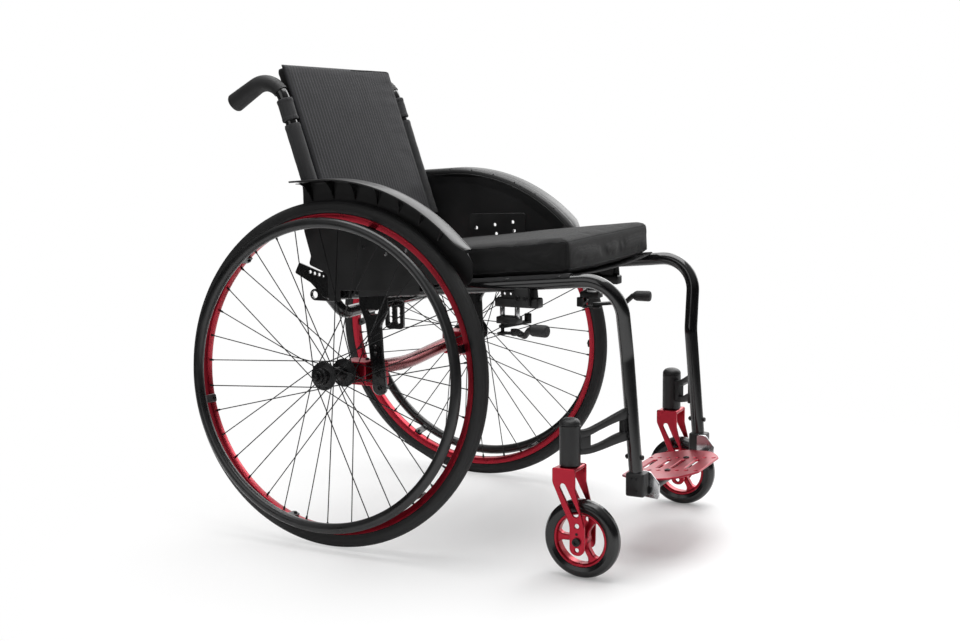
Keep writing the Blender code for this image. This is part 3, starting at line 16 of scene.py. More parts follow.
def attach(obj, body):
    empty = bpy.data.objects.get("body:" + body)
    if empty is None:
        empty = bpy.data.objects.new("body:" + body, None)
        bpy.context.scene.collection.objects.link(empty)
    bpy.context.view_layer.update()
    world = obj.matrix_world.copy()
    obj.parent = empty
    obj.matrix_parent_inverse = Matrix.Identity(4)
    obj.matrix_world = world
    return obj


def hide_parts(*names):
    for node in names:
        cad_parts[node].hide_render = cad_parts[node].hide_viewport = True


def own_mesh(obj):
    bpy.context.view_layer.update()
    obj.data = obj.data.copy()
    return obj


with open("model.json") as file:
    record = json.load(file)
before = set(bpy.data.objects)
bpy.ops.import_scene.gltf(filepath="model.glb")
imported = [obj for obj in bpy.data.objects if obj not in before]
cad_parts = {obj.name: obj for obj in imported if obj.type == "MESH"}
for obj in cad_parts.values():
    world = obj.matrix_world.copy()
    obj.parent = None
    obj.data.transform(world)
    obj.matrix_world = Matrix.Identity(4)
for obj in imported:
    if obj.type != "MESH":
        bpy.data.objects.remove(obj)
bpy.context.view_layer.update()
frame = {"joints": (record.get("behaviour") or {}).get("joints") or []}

# Places read from the frame
JOINTS = {joint["name"]: joint for joint in frame["joints"]}
WHEEL_PLACE = JOINTS["wheel_left_spin"]["pos_m"]
WHEEL_AXIS = JOINTS["wheel_left_spin"]["axis"]
AXLE_Y = WHEEL_PLACE[1]
WHEEL_X = WHEEL_PLACE[0]
WHEEL_Z = WHEEL_PLACE[2]
CAMBER = math.atan2(WHEEL_AXIS[2], WHEEL_AXIS[0])
HINGE_Y = JOINTS["backrest_fold"]["pos_m"][1] - AXLE_Y
HINGE_Z = JOINTS["backrest_fold"]["pos_m"][2]
CASTER_X = JOINTS["fork_left_swivel"]["pos_m"][0]
CASTER_Y = JOINTS["fork_left_swivel"]["pos_m"][1] - AXLE_Y
CASTER_Z = JOINTS["caster_left_roll"]["pos_m"][2]
CASTER_TRAIL = JOINTS["fork_left_swivel"]["pos_m"][1] - JOINTS["caster_left_roll"]["pos_m"][1]
LEVER_PLACE = JOINTS["brake_left_lever"]["pos_m"]
SHOE_PLACE = JOINTS["brake_left_shoe"]["pos_m"]
FOOT_BAR_Y = JOINTS["footplate_angle"]["pos_m"][1] - AXLE_Y
FOOT_BAR_Z = JOINTS["footplate_angle"]["pos_m"][2]

CHAIR = Matrix.Translation((0, AXLE_Y, 0))
SIDES = {"right": -1, "left": 1}
OUTBOARD = (1, 0, 0)

# Rear wheels
WHEEL_RADIUS = 0.295
TYRE_SECTION = 0.0126
RIM_EDGE = 0.2738
RIM_INNER = 0.2612
RIM_HALF_WIDTH = 0.0100
SPOKE_COUNT = 36
SPOKE_CROSS = math.radians(60)
SPOKE_LANE = 0.0013
SPOKE_RIM_OFFSET = 0.0025
NIPPLE_LENGTH = 0.0065
FLANGE_RADIUS = 0.0245
OUTER_FLANGE = 0.0290
INNER_FLANGE = -0.0330
HUB_HALF_LENGTH = 0.0440
HANDRIM_RADIUS = 0.2565
HANDRIM_TUBE = 0.0090
HANDRIM_OFFSET = 0.0380
ROUND_STEPS = 160
TAB_COUNT = 6
TAB_PHASE = math.radians(5)
WHEEL_SPIN = {"right": math.radians(8.7), "left": math.radians(-3.8)}

# Frame
TUBE_RADIUS = 0.01125
SEAT_X = 0.180
SEAT_REAR_Y = 0.050
SEAT_Z_AT_AXLE = 0.4260
SEAT_SLOPE = 0.0945
KNEE = Vector((0.154, -0.495, 0.345))
LEG_END = Vector((0.154, -0.511, 0.160))
CROSS_Y = 0.036
CROSS_Z = 0.386
TAB_PLATE_Y = 0.0257
SUPPORT_MIDDLE = 0.186
SUPPORT_THICKNESS = 0.0080
CAMBER_TUBE_RADIUS = 0.0127
HOUSING_RADIUS = 0.0168
HOUSING_TOP = 0.2566
FORK_TOP = 0.1795
CASTER_PHASE = math.radians(90)
FOOT_BAR_RADIUS = 0.0065
FOOT_PLATE_SLOPE = 0.105

# Backrest, in the frame of its hinge: +Z up the cane, -Y to the front
RECLINE = math.radians(18.8)
CANE_X = 0.188
CANE_RADIUS = 0.0105
CANE_STRAIGHT = 0.306
HANDLE_BEND = 0.040
HANDLE_TURN = math.radians(102)
HANDLE_REACH = 0.103
PAD_HALF_WIDTH = 0.1745
PAD_LOW = 0.060
PAD_HIGH = 0.365
PAD_FRONT = -0.0105
PAD_THICKNESS = 0.020
RIB_PITCH = 0.0088
SLEEVE_RADIUS = 0.0138
SLEEVE_INNER_RADIUS = 0.0116
SLEEVE_SPLIT = 0.2595

# Seat
SLING_SAG = 0.006
CUSHION_HALF_WIDTH = 0.1855
CUSHION_FRONT_Y = -0.4075
CUSHION_REAR_Y = 0.0095
CUSHION_FRONT_TOP = 0.5340
CUSHION_REAR_TOP = 0.4870

# Side guards
GUARD_X = 0.2056
GUARD_WALL = 0.0025
GUARD_RADIUS = 0.330
GUARD_LIP_WIDTH = 0.0440
GUARD_FRONT_Y = -0.247
GUARD_TIP_Y = 0.091
GUARD_REAR_Y = 0.080
GUARD_TAIL_SLOPE = math.radians(4)
GUSSET_FIRST = math.radians(-11.6)
GUSSET_PITCH = math.radians(8.35)
GUSSET_COUNT = 7
GUARD_HOLES = ((-0.040, 0.509), (-0.080, 0.516), (-0.1185, 0.522), (-0.083, 0.4985), (-0.1215, 0.5055))

# The photo's view
CAMERA_PLACE = Vector((-2.2163, -1.3039 + AXLE_Y, 0.7368))
CAMERA_AZIMUTH = math.radians(-62.535)
CAMERA_DIP = math.radians(8.549)
CAMERA_ROLL = math.radians(-0.587)
CAMERA_LENS = 52.75


# Outlines and paths


def fillet(before, corner, after, radius, steps):
    """The points of the arc that rounds one corner."""
    back = (before - corner).normalized()
    ahead = (after - corner).normalized()
    half = back.angle(ahead) / 2
    centre = corner + (back + ahead).normalized() * (radius / math.sin(half))
    arm = corner + back * (radius / math.tan(half)) - centre
    axis = arm.cross(corner + ahead * (radius / math.tan(half)) - centre).normalized()
    turn = math.pi - 2 * half
    return [centre + Matrix.Rotation(turn * i / steps, 3, axis) @ arm for i in range(steps + 1)]


def bent(corners, radii, steps=14):
    """A path through the corners, with each inner corner rounded to its radius."""
    corners = [Vector(corner) for corner in corners]
    path = [corners[0]]
    for before, corner, after, radius in zip(corners, corners[1:], corners[2:], radii):
        path.extend(fillet(before, corner, after, radius, steps))
    path.append(corners[-1])
    return path


def rounded(corners, steps=6):
    """A closed outline from corners written as (x, y, radius)."""
    places = [Vector((x, y, 0)) for x, y, _ in corners]
    points = []
    for i, (x, y, radius) in enumerate(corners):
        if not radius:
            points.append((x, y))
            continue
        arc = fillet(places[i - 1], places[i], places[(i + 1) % len(places)], radius, steps)
        points.extend((point.x, point.y) for point in arc)
    return points


def polar(radius, angle):
    return radius * math.cos(angle), radius * math.sin(angle)


def angles(count):
    """The angles of even steps round a circle."""
    return [2 * math.pi * i / count for i in range(count)]


def circle(centre, radius, sides=20):
    ring = [polar(radius, angle) for angle in angles(sides)]
    return [(centre[0] + x, centre[1] + y) for x, y in ring]


def slot(start, end, width, steps=10):
    """A slot with round ends between two centres."""
    heading = math.atan2(end[1] - start[1], end[0] - start[0])
    points = []
    for centre, first in ((end, heading - math.pi / 2), (start, heading + math.pi / 2)):
        for i in range(steps + 1):
            x, y = polar(width / 2, first + math.pi * i / steps)
            points.append((centre[0] + x, centre[1] + y))
    return points


def seat_z(y):
    """The height of the seat rail's centre line."""
    return SEAT_Z_AT_AXLE - SEAT_SLOPE * y


def axle_point(outboard):
    """A point on the left wheel's axle, this far outboard of the wheel's centre."""
    return Vector((WHEEL_X + outboard * math.cos(CAMBER), 0, WHEEL_Z + outboard * math.sin(CAMBER)))


# Shapes


def grid(rows, wrap_rows=False, wrap_columns=True, caps=False):
    """Rows of equal count joined into a skin."""
    width = len(rows[0])
    points = [Vector(p) for row in rows for p in row]
    faces = []
    for a in range(len(rows) - (not wrap_rows)):
        b = (a + 1) % len(rows)
        for i in range(width - (not wrap_columns)):
            j = (i + 1) % width
            faces.append((a * width + i, a * width + j, b * width + j, b * width + i))
    if caps:
        faces.append(tuple(reversed(range(width))))
        faces.append(tuple(range(len(points) - width, len(points))))
    return points, faces


def sweep(path, radius, sides=24, closed=False):
    """A round bar along a path, with one radius or one for each of its points."""
    path = [Vector(p) for p in path]
    radii = radius if isinstance(radius, (list, tuple)) else [radius] * len(path)
    ring = [polar(1, angle) for angle in angles(sides)]
    rows = []
    normal = None
    for i, place in enumerate(path):
        before = path[i - 1] if closed or i else place
        after = path[(i + 1) % len(path)] if closed or i < len(path) - 1 else place
        along = (after - before).normalized()
        normal = along.orthogonal() if normal is None else normal - along * normal.dot(along)
        normal.normalize()
        across = along.cross(normal)
        rows.append([place + (normal * x + across * y) * radii[i] for x, y in ring])
    return grid(rows, wrap_rows=closed, caps=not closed)


def lathe(profile, steps=48, closed=False):
    """A shape turned about Z from a profile of (radius, height) points."""
    rows = [[(*polar(r, angle), h) for r, h in profile] for angle in angles(steps)]
    return grid(rows, wrap_rows=True, wrap_columns=closed)


def moved(shape, matrix):
    return [matrix @ p for p in shape[0]], shape[1]


def shifted(shape, place):
    return moved(shape, Matrix.Translation(place))


def flip(sign):
    """The matrix of a side: nothing for the left, a mirror for the right."""
    return Matrix.Scale(sign, 4, (1, 0, 0))


def mirrored(shape):
    return moved(shape, flip(-1))


def joined(*shapes):
    points = []
    faces = []
    for more_points, more_faces in shapes:
        first = len(points)
        points.extend(more_points)
        faces.extend(tuple(first + i for i in face) for face in more_faces)
    return points, faces


def aim(direction, place=(0, 0, 0)):
    """The matrix that takes +Z to a direction, at a place."""
    turn = Vector(direction).to_track_quat("Z", "Y").to_matrix().to_4x4()
    return Matrix.Translation(place) @ turn


def inset_loop(loop, inset):
    """A loop moved to its left by a small distance."""
    count = len(loop)
    points = []
    for i, place in enumerate(loop):
        before = (place - loop[i - 1]).normalized()
        after = (loop[(i + 1) % count] - place).normalized()
        first = Vector((-before.y, before.x))
        second = Vector((-after.y, after.x))
        points.append(place + (first + second) / (1 + max(first.dot(second), -0.5)) * inset)
    return points


def plate(outline, thickness, holes=(), edge=0.0006):
    """A flat plate on the XY plane, with a small chamfer round its outline and its holes."""
    half = thickness / 2
    skins = []
    rims = []
    for index, loop in enumerate((outline, *holes)):
        loop = [Vector(p) for p in loop]
        area = sum(a.cross(b) for a, b in zip(loop, loop[1:] + loop[:1]))
        if (area > 0) != (index == 0):
            loop.reverse()
        inner = inset_loop(loop, edge)
        rims.append(inner)
        rows = [
            [(p.x, p.y, z) for p in points]
            for points, z in ((inner, half), (loop, half - edge), (loop, edge - half), (inner, -half))
        ]
        skins.append(grid(rows))
    triangles = geometry.tessellate_polygon([[p.to_3d() for p in rim] for rim in rims])
    flat = [p for rim in rims for p in rim]
    for z in (half, -half):
        skins.append(([Vector((p.x, p.y, z)) for p in flat], [tuple(t) for t in triangles]))
    return joined(*skins)


def side_plate(outline, x, thickness, holes=(), edge=0.0006):
    """A plate drawn in the side view as (y, z), with its middle at x."""
    turn = Matrix(((0, 0, 1, x), (1, 0, 0, 0), (0, 1, 0, 0), (0, 0, 0, 1)))
    return moved(plate(outline, thickness, holes, edge), turn)


def block(size, centre=(0, 0, 0), edge=0.0012, segments=2):
    form = bmesh.new()
    bmesh.ops.create_cube(form, size=1)
    bmesh.ops.scale(form, vec=size, verts=form.verts)
    bmesh.ops.bevel(form, geom=form.edges, offset=edge, segments=segments, profile=0.5, affect="EDGES")
    form.verts.index_update()
    points = [v.co + Vector(centre) for v in form.verts]
    faces = [tuple(v.index for v in f.verts) for f in form.faces]
    form.free()
    return points, faces


def strip(stations, thickness, corner=0.002):
    """An upright bar whose plan follows stations of (x, y, lower edge, upper edge)."""
    rows = []
    for i, (x, y, low, high) in enumerate(stations):
        before = Vector(stations[max(i - 1, 0)][:2])
        after = Vector(stations[min(i + 1, len(stations) - 1)][:2])
        along = (after - before).normalized()
        across = Vector((-along.y, along.x))
        half = thickness / 2
        section = rounded(
            ((-half, low, corner), (half, low, corner), (half, high, corner), (-half, high, corner)), 3
        )
        rows.append([(x + across.x * w, y + across.y * w, z) for w, z in section])
    return grid(rows, caps=True)


def smooth_stations(stations, count):
    """More stations along a smooth curve through the given ones."""
    places = [Vector(s) for s in stations]
    ends = [places[0] * 2 - places[1], *places, places[-1] * 2 - places[-2]]
    fine = []
    for i in range(1, len(ends) - 2):
        a, b, c, d = ends[i - 1 : i + 3]
        for k in range(count):
            t = k / count
            curve = (2 * a - 5 * b + 4 * c - d) * t**2 + (3 * b - a - 3 * c + d) * t**3
            fine.append(0.5 * (2 * b + (c - a) * t + curve))
    return fine + [places[-1]]


def hexagon_radius(radius, angle):
    """The distance to the side of a hexagon of that inner radius."""
    return radius / math.cos((angle % (math.pi / 3)) - math.pi / 6)


def bolt(place, direction, radius, height, socket=0.45):
    """A screw head that stands on a surface, with a hexagon socket."""
    dome = 0.2
    turned = ((radius, 0), (radius, height * (1 - dome)), (radius * (1 - dome * 0.6), height))
    rows = [[(*polar(size, a), level) for a in angles(24)] for size, level in turned]
    for level in (height, height * 0.4):
        rows.append([(*polar(hexagon_radius(radius * socket, a), a), level) for a in angles(24)])
    return moved(grid(rows, caps=True), aim(direction, place))


def nut(place, direction, radius, height):
    """A hexagon nut with a short threaded end."""
    rows = []
    for share, level in ((1, 0), (1, height * 0.85), (0.93, height)):
        rows.append([(*polar(hexagon_radius(radius, a) * share, a), level) for a in angles(24)])
    thread = sweep(((0, 0, height * 0.9), (0, 0, height * 1.35)), radius * 0.55, 16)
    return moved(joined(grid(rows, caps=True), thread), aim(direction, place))


# Materials


def link(tree, kind, inputs=None, **settings):
    """A shader node. An input takes a value, or another node's output."""
    node = tree.nodes.new("ShaderNode" + kind)
    for name, value in settings.items():
        setattr(node, name, value)
    for key, value in (inputs or {}).items():
        if isinstance(value, bpy.types.NodeSocket):
            tree.links.new(value, node.inputs[key])
        else:
            node.inputs[key].default_value = value
    return node


def start_material(name, roughness, metallic=0.0, **uniform):
    material = bpy.data.materials.new(name)
    material.use_nodes = True
    tree = material.node_tree
    shader = tree.nodes["Principled BSDF"]
    shader.inputs["Roughness"].default_value = roughness
    shader.inputs["Metallic"].default_value = metallic
    for key, value in uniform.items():
        shader.inputs[key.replace("_", " ").title()].default_value = value
    coords = link(tree, "TexCoord").outputs["Object"]
    return material, tree, shader, coords


def noise_of(tree, coords, scale, detail=3.0):
    inputs = {"Vector": coords, "Scale": scale, "Detail": detail, "Roughness": 0.55}
    return link(tree, "TexNoise", inputs).outputs["Fac"]


def spread(tree, value, low, high, start=0.3, end=0.7):
    """A texture's value remapped to a range."""
    inputs = {"Value": value, "From Min": start, "From Max": end, "To Min": low, "To Max": high}
    return link(tree, "MapRange", inputs).outputs["Result"]


def blend_colours(tree, amount, first, second):
    inputs = {0: amount, 6: (*first, 1.0), 7: (*second, 1.0)}
    return link(tree, "Mix", inputs, data_type="RGBA").outputs[2]


def add_bump(tree, shader, height, strength, distance):
    inputs = {"Height": height, "Strength": strength, "Distance": distance}
    tree.links.new(link(tree, "Bump", inputs).outputs["Normal"], shader.inputs["Normal"])


def mottled(name, first, second, rough, scale, fine, bump, metallic=0.0, **uniform):
    """A surface whose colour and roughness drift, under a fine grain."""
    material, tree, shader, coords = start_material(name, rough[0], metallic, **uniform)
    drift = noise_of(tree, coords, scale)
    colour = blend_colours(tree, spread(tree, drift, 0, 1), first, second)
    tree.links.new(colour, shader.inputs["Base Color"])
    tree.links.new(spread(tree, drift, *rough), shader.inputs["Roughness"])
    add_bump(tree, shader, noise_of(tree, coords, fine, 2.0), *bump)
    return material


def wave_of(tree, coords, pitch, axis):
    """Bands of one pitch along an axis."""
    inputs = {"Vector": coords, "Scale": math.pi / (10 * pitch)}
    return link(tree, "TexWave", inputs, bands_direction=axis).outputs["Fac"]


def combine(tree, operation, first, second):
    return link(tree, "Math", {0: first, 1: second}, operation=operation).outputs[0]


def woven(name, first, second, pitch, depth, turn):
    """A plain weave: yarns of one pitch along each axis, with a painted highlight on their crests."""
    material, tree, shader, coords = start_material(name, 0.92, sheen_weight=0.06, sheen_roughness=0.5)
    turned = link(tree, "Mapping", {"Vector": coords, "Rotation": (turn, 0, 0)}).outputs["Vector"]
    yarn = combine(tree, "MULTIPLY", wave_of(tree, turned, pitch, "X"), wave_of(tree, turned, pitch, "Y"))
    yarn = combine(tree, "ADD", yarn, wave_of(tree, turned, pitch, "Z"))
    cloud = noise_of(tree, coords, 45)
    height = combine(tree, "ADD", yarn, combine(tree, "MULTIPLY", noise_of(tree, coords, 1600), 0.5))
    # Painted highlight: the base colour is lighter on the yarns' crests, under a drift of tone at random.
    shade = combine(tree, "MULTIPLY", spread(tree, yarn, 0, 1, 0.1, 1.4), spread(tree, cloud, 0.55, 1))
    tree.links.new(blend_colours(tree, shade, first, second), shader.inputs["Base Color"])
    add_bump(tree, shader, height, 0.5, depth)
    return material


def ribbed_mesh(name):
    """Spacer mesh: upright ribs with a net of small holes between them."""
    material, tree, shader, coords = start_material(name, 0.88, sheen_weight=0.08, sheen_roughness=0.45)
    level = link(tree, "Mapping", {"Vector": coords, "Rotation": (RECLINE, 0, 0)}).outputs["Vector"]
    rib = wave_of(tree, level, RIB_PITCH, "X")
    cells = combine(tree, "MULTIPLY", wave_of(tree, level, 0.0022, "X"), wave_of(tree, level, 0.0026, "Z"))
    cloud = spread(tree, noise_of(tree, coords, 30), 0.7, 1)
    # Painted shade: the base colour is darker between the ribs and in the net's holes, under a drift of
    # tone at random.
    shade = combine(tree, "MULTIPLY", spread(tree, rib, 0.15, 1, 0.1, 0.9), cloud)
    shade = combine(tree, "MULTIPLY", shade, spread(tree, cells, 1, 0.45, 0.1, 0.8))
    colour = blend_colours(tree, shade, (0.008, 0.008, 0.009), (0.038, 0.038, 0.043))
    tree.links.new(colour, shader.inputs["Base Color"])
    add_bump(tree, shader, combine(tree, "SUBTRACT", rib, cells), 0.6, 0.0004)
    return material


def make_finishes():
    """The material of each finish."""
    mottles = (
        # Finish and material, colours, range of roughness, drift and grain, bump, other settings
        ("frame_black", "gloss_black_powder_coat", (0.0065, 0.0065, 0.007), (0.0095, 0.0095, 0.010),
         (0.11, 0.19), 14, 900, (0.05, 0.0002), {"coat_weight": 0.4, "coat_roughness": 0.06}),
        ("satin_black", "satin_black", (0.013, 0.013, 0.0135), (0.018, 0.018, 0.0185),
         (0.40, 0.50), 16, 1200, (0.08, 0.0001), {}),
        ("red_anodised", "red_anodised_satin", (0.36, 0.007, 0.022), (0.46, 0.012, 0.032),
         (0.24, 0.36), 18, 2600, (0.10, 0.0001),
         {"metallic": 0.85, "coat_weight": 0.25, "coat_roughness": 0.25}),
        ("tube_anodised", "tube_anodised", (0.15, 0.008, 0.012), (0.21, 0.012, 0.018),
         (0.22, 0.34), 18, 2600, (0.10, 0.0001),
         {"metallic": 0.8, "coat_weight": 0.3, "coat_roughness": 0.2}),
        # The footplate's copy of the red anodising is a little pinker than the rims', a painted reflection
        # of the white surround; its coat reflects for real.
        ("plate_anodised", "plate_anodised", (0.34, 0.016, 0.034), (0.44, 0.024, 0.046),
         (0.28, 0.40), 18, 2600, (0.10, 0.0001),
         {"metallic": 0.75, "coat_weight": 0.3, "coat_roughness": 0.30}),
        ("tyre_rubber", "tyre_rubber", (0.009, 0.009, 0.0095), (0.016, 0.016, 0.0165),
         (0.58, 0.74), 22, 1400, (0.3, 0.0003), {}),
        ("caster_rubber", "caster_rubber", (0.008, 0.008, 0.0085), (0.012, 0.012, 0.0125),
         (0.16, 0.24), 22, 1400, (0.1, 0.0001), {}),
        ("grip_rubber", "moulded_rubber", (0.014, 0.014, 0.0145), (0.022, 0.022, 0.023),
         (0.55, 0.68), 30, 1100, (0.35, 0.0003), {}),
        ("handrim_black", "handrim_satin_black", (0.016, 0.016, 0.0165), (0.026, 0.026, 0.027),
         (0.26, 0.36), 25, 2400, (0.08, 0.0001),
         {"metallic": 0.35, "coat_weight": 0.3, "coat_roughness": 0.2}),
        ("spoke_black", "black_oxide", (0.012, 0.012, 0.0125), (0.020, 0.020, 0.021),
         (0.30, 0.45), 60, 2400, (0.08, 0.0001), {"metallic": 0.5}),
        ("bright_steel", "plated_steel", (0.50, 0.50, 0.51), (0.66, 0.66, 0.67),
         (0.16, 0.30), 60, 2200, (0.10, 0.0001), {"metallic": 1.0}),
        ("guard_plastic", "moulded_guard", (0.009, 0.009, 0.0095), (0.013, 0.013, 0.0135),
         (0.32, 0.42), 16, 1500, (0.30, 0.0002), {}),
        ("black_plastic", "black_nylon", (0.010, 0.010, 0.0105), (0.017, 0.017, 0.0175),
         (0.38, 0.52), 35, 1500, (0.30, 0.0002), {}),
        ("thread", "thread", (0.02, 0.02, 0.021), (0.05, 0.05, 0.052),
         (0.7, 0.8), 400, 3000, (0.2, 0.0001), {}),
    )
    weaves = (
        # Finish and material, colours, pitch and depth of the yarns, turn
        ("seat_fabric", "seat_weave", (0.0045, 0.0045, 0.0047), (0.0125, 0.0125, 0.013),
         0.0014, 0.0003, 0),
        ("sling_fabric", "sling_webbing", (0.007, 0.007, 0.0075), (0.018, 0.018, 0.019),
         0.0020, 0.0003, 0),
        ("sleeve_nylon", "sleeve_nylon", (0.026, 0.026, 0.027), (0.058, 0.058, 0.061),
         0.0008, 0.00015, RECLINE),
        ("gusset_fabric", "gusset_fabric", (0.006, 0.006, 0.0065), (0.012, 0.012, 0.013),
         0.0010, 0.0002, RECLINE),
    )
    made = {"back_fabric": ribbed_mesh("back_spacer_mesh")}
    for finish, *look, uniform in mottles:
        made[finish] = mottled(*look, **uniform)
    for finish, *look in weaves:
        made[finish] = woven(*look)
    return made


FINISHES = make_finishes()

# Finishes that the record doesn't name, and its slot for each
EXTRA_SLOTS = {
    "sleeve_nylon": "back_fabric",
    "tube_anodised": "red_anodised",
    "plate_anodised": "red_anodised",
    "caster_rubber": "tyre_rubber",
    "satin_black": "frame_black",
    "gusset_fabric": "back_fabric",
    "sling_fabric": "seat_fabric",
    "thread": "seat_fabric",
}


# Placing pieces


def mesh_object(name, shape, finish, crease=35):
    points, faces = shape
    mesh = bpy.data.meshes.new(name)
    mesh.from_pydata([tuple(p) for p in points], [], faces)
    form = bmesh.new()
    form.from_mesh(mesh)
    bmesh.ops.remove_doubles(form, verts=form.verts, dist=0.000004)
    bmesh.ops.recalc_face_normals(form, faces=form.faces)
    form.to_mesh(mesh)
    form.free()
    mesh.shade_smooth()
    mesh.set_sharp_from_angle(angle=math.radians(crease))
    mesh.materials.append(FINISHES[finish])
    obj = bpy.data.objects.new(name, mesh)
    bpy.context.scene.collection.objects.link(obj)
    return obj


def piece(name, shape, body, finish, replaces=(), at=CHAIR, crease=35):
    """One finished piece on its body. A piece may stand for CAD nodes."""
    obj = mesh_object(name, moved(shape, at), finish, crease)
    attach(obj, body)
    EXTRA_SLOTS.get(finish, finish)
    if replaces:
        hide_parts(*replaces)
    return obj


def sided(side, name, shape, body, finish, node=None, at=CHAIR, crease=35):
    """A piece of one side. The names of its body and of its node take the side where they have braces."""
    nodes = [node.format(side)] if node else []
    return piece(f"{name}_{side}", shape, body.format(side), finish, nodes, at, crease)


def both(name, shape, body, finish, node=None, at=CHAIR, crease=35):
    """The left piece and its mirror image."""
    for side in SIDES:
        sided(side, name, mirrored(shape) if side == "right" else shape, body, finish, node, at, crease)


def screws(name, heads, body="frame", at=CHAIR):
    both(name, joined(*heads), body, "spoke_black", at=at)


# Frame


def frame_tubes():
    corner = Vector((SEAT_X, -0.4915, seat_z(-0.4915)))
    rear = Vector((SEAT_X, SEAT_REAR_Y, seat_z(SEAT_REAR_Y)))
    path = bent((rear, corner, KNEE, LEG_END), (0.058, 0.080), 22)
    both("frame_tube", sweep(path, TUBE_RADIUS, 40), "frame", "frame_black", "side_frame_{}")
    plug = lathe(((0, 0.0035), (0.0070, 0.0030), (0.0102, 0.0012), (0.0106, -0.001), (0, -0.001)), 32)
    heading = Vector((0, 1, -SEAT_SLOPE))
    both("tube_plug", moved(plug, aim(heading, rear)), "frame", "black_plastic")
    leg = (KNEE - LEG_END).normalized()
    bolt_z = 0.183
    bolt_y = LEG_END.y - (bolt_z - LEG_END.z) * leg.y / -leg.z
    across = [
        bolt((LEG_END.x, bolt_y - TUBE_RADIUS + 0.0008, bolt_z), (0, -1, 0), 0.0040, 0.0045),
        nut((LEG_END.x, bolt_y + TUBE_RADIUS - 0.0008, bolt_z), (0, 1, 0), 0.0038, 0.0042),
    ]
    screws("height_bolt", across)


def rear_cross_tube():
    socket_y = 0.079
    socket_z = seat_z(socket_y)
    path = bent(
        (
            (0.006 - SEAT_X, 0.055, socket_z), (-0.158, CROSS_Y, CROSS_Z), (0.158, CROSS_Y, CROSS_Z),
            (SEAT_X - 0.006, 0.055, socket_z),
        ),
        (0.020, 0.020),
    )
    half = 0.01975
    front = TAB_PLATE_Y - half
    rear = TAB_PLATE_Y + half
    outline = rounded(((rear, 0.388, 0), (front, 0.388, 0), (front, 0.335, 0.008), (rear, 0.335, 0.008)))
    holes = []
    for y in (TAB_PLATE_Y - 0.0084, TAB_PLATE_Y + 0.0084):
        holes.append(scalloped(slot((y, 0.34925), (y, 0.37275), 0.0080), y, 0.361))
    tab = side_plate(outline, 0, 0.0060, holes)
    pieces = [sweep(path, 0.0110, 32), tab]
    for sign in SIDES.values():
        body = slot((CROSS_Y, socket_z), (0.07775, socket_z), 0.0205, 14)
        eye = [circle((socket_y, socket_z), 0.0066, 24)]
        pieces.append(side_plate(body, sign * SEAT_X, 0.0080, eye, 0.001))
        place = (sign * (SEAT_X + 0.004), CROSS_Y + 0.014, socket_z)
        pieces.append(bolt(place, (sign, 0, 0), 0.0032, 0.0022))
    piece("cross_tube", joined(*pieces), "frame", "frame_black", ["rear_cross_tube"])


def scalloped(loop, x, middle):
    """A slot with one long side drawn in between three notches."""
    straight = 0.01175
    points = []
    for i, place in enumerate(loop):
        points.append(place)
        nxt = loop[(i + 1) % len(loop)]
        if abs(nxt[0] - place[0]) < 0.0001 and abs(nxt[1] - place[1]) > 0.010:
            depth = 0.0014 if place[0] < x else 0
            for k in range(1, 24):
                z = place[1] + (nxt[1] - place[1]) * k / 24
                swing = abs(math.sin((z - middle + straight) / (2 * straight) * 3 * math.pi))
                points.append((place[0] + depth * (1 - swing), z))
    return points


def camber_tube():
    end = axle_point(-HUB_HALF_LENGTH - 0.0005)
    middle_z = WHEEL_Z - math.tan(CAMBER) * WHEEL_X
    path = bent(((-end.x, 0, end.z), (0, 0, middle_z), (end.x, 0, end.z)), (0.450,), 40)
    piece("axle_tube", sweep(path, CAMBER_TUBE_RADIUS, 40), "frame", "tube_anodised", ["camber_tube"])


def axle_supports():
    outline = rounded(
        (
            (-0.016, 0.427, 0.001), (-0.016, 0.408, 0.008), (-0.0285, 0.374, 0.020),
            (-0.0355, 0.3205, 0.060), (-0.0405, 0.2512, 0.0128), (-0.0685, 0.2512, 0.0128),
            (-0.0615, 0.3205, 0.060), (-0.0590, 0.374, 0.018), (-0.0720, 0.396, 0.008),
            (-0.0720, 0.427, 0.001),
        )
    )
    notch = [(-0.031, 0.3985, 0.001), (-0.056, 0.4005, 0.001)]
    notch += [(-0.052, 0.3915, 0.002), (-0.036, 0.3905, 0.002)]
    holes = [rounded(notch, 4)] + [circle(p, 0.0022, 14) for p in ((-0.0480, 0.3365), (-0.0485, 0.3245))]
    shape = side_plate(outline, SUPPORT_MIDDLE, SUPPORT_THICKNESS, holes, 0.0016)
    both("axle_plate", shape, "frame", "frame_black", "axle_support_{}")
    face = SUPPORT_MIDDLE + SUPPORT_THICKNESS / 2
    heads = [
        bolt((face - 0.0004, -0.0525, 0.287), OUTBOARD, 0.0042, 0.0022),
        bolt((face - 0.0004, -0.0550, 0.264), OUTBOARD, 0.0040, 0.0022),
    ]
    for y in (-0.015, -0.034, -0.060):
        heads.append(bolt((SEAT_X + TUBE_RADIUS - 0.0004, y, seat_z(y)), OUTBOARD, 0.0036, 0.0022))
    screws("axle_plate_screws", heads)


def axle_clamps():
    face = 0.1817
    top = WHEEL_Z + 0.0150
    low = WHEEL_Z - 0.0301
    corners = ((0.0165, top, 0.006), (-0.0575, top, 0.006), (-0.0575, low, 0.006), (0.0165, low, 0.006))
    inner = side_plate(rounded(corners), (0.162 + face) / 2, face - 0.162, (), 0.0018)
    end = axle_point(-HUB_HALF_LENGTH).x - 0.0025
    foot = low + 0.008
    corners = ((0.016, top, 0.006), (-0.0345, top, 0.003), (-0.0345, foot, 0.003), (0.016, foot, 0.010))
    collar = side_plate(rounded(corners, 8), (face - 0.003 + end) / 2, end - face + 0.003, (), 0.0016)
    heads = [bolt((0.172, y, top - 0.0002), (0, 0, 1), 0.0034, 0.0026) for y in (-0.020, -0.048)]
    both("axle_block", joined(inner, collar), "frame", "red_anodised", "axle_clamp_{}")
    screws("axle_block_screws", heads)


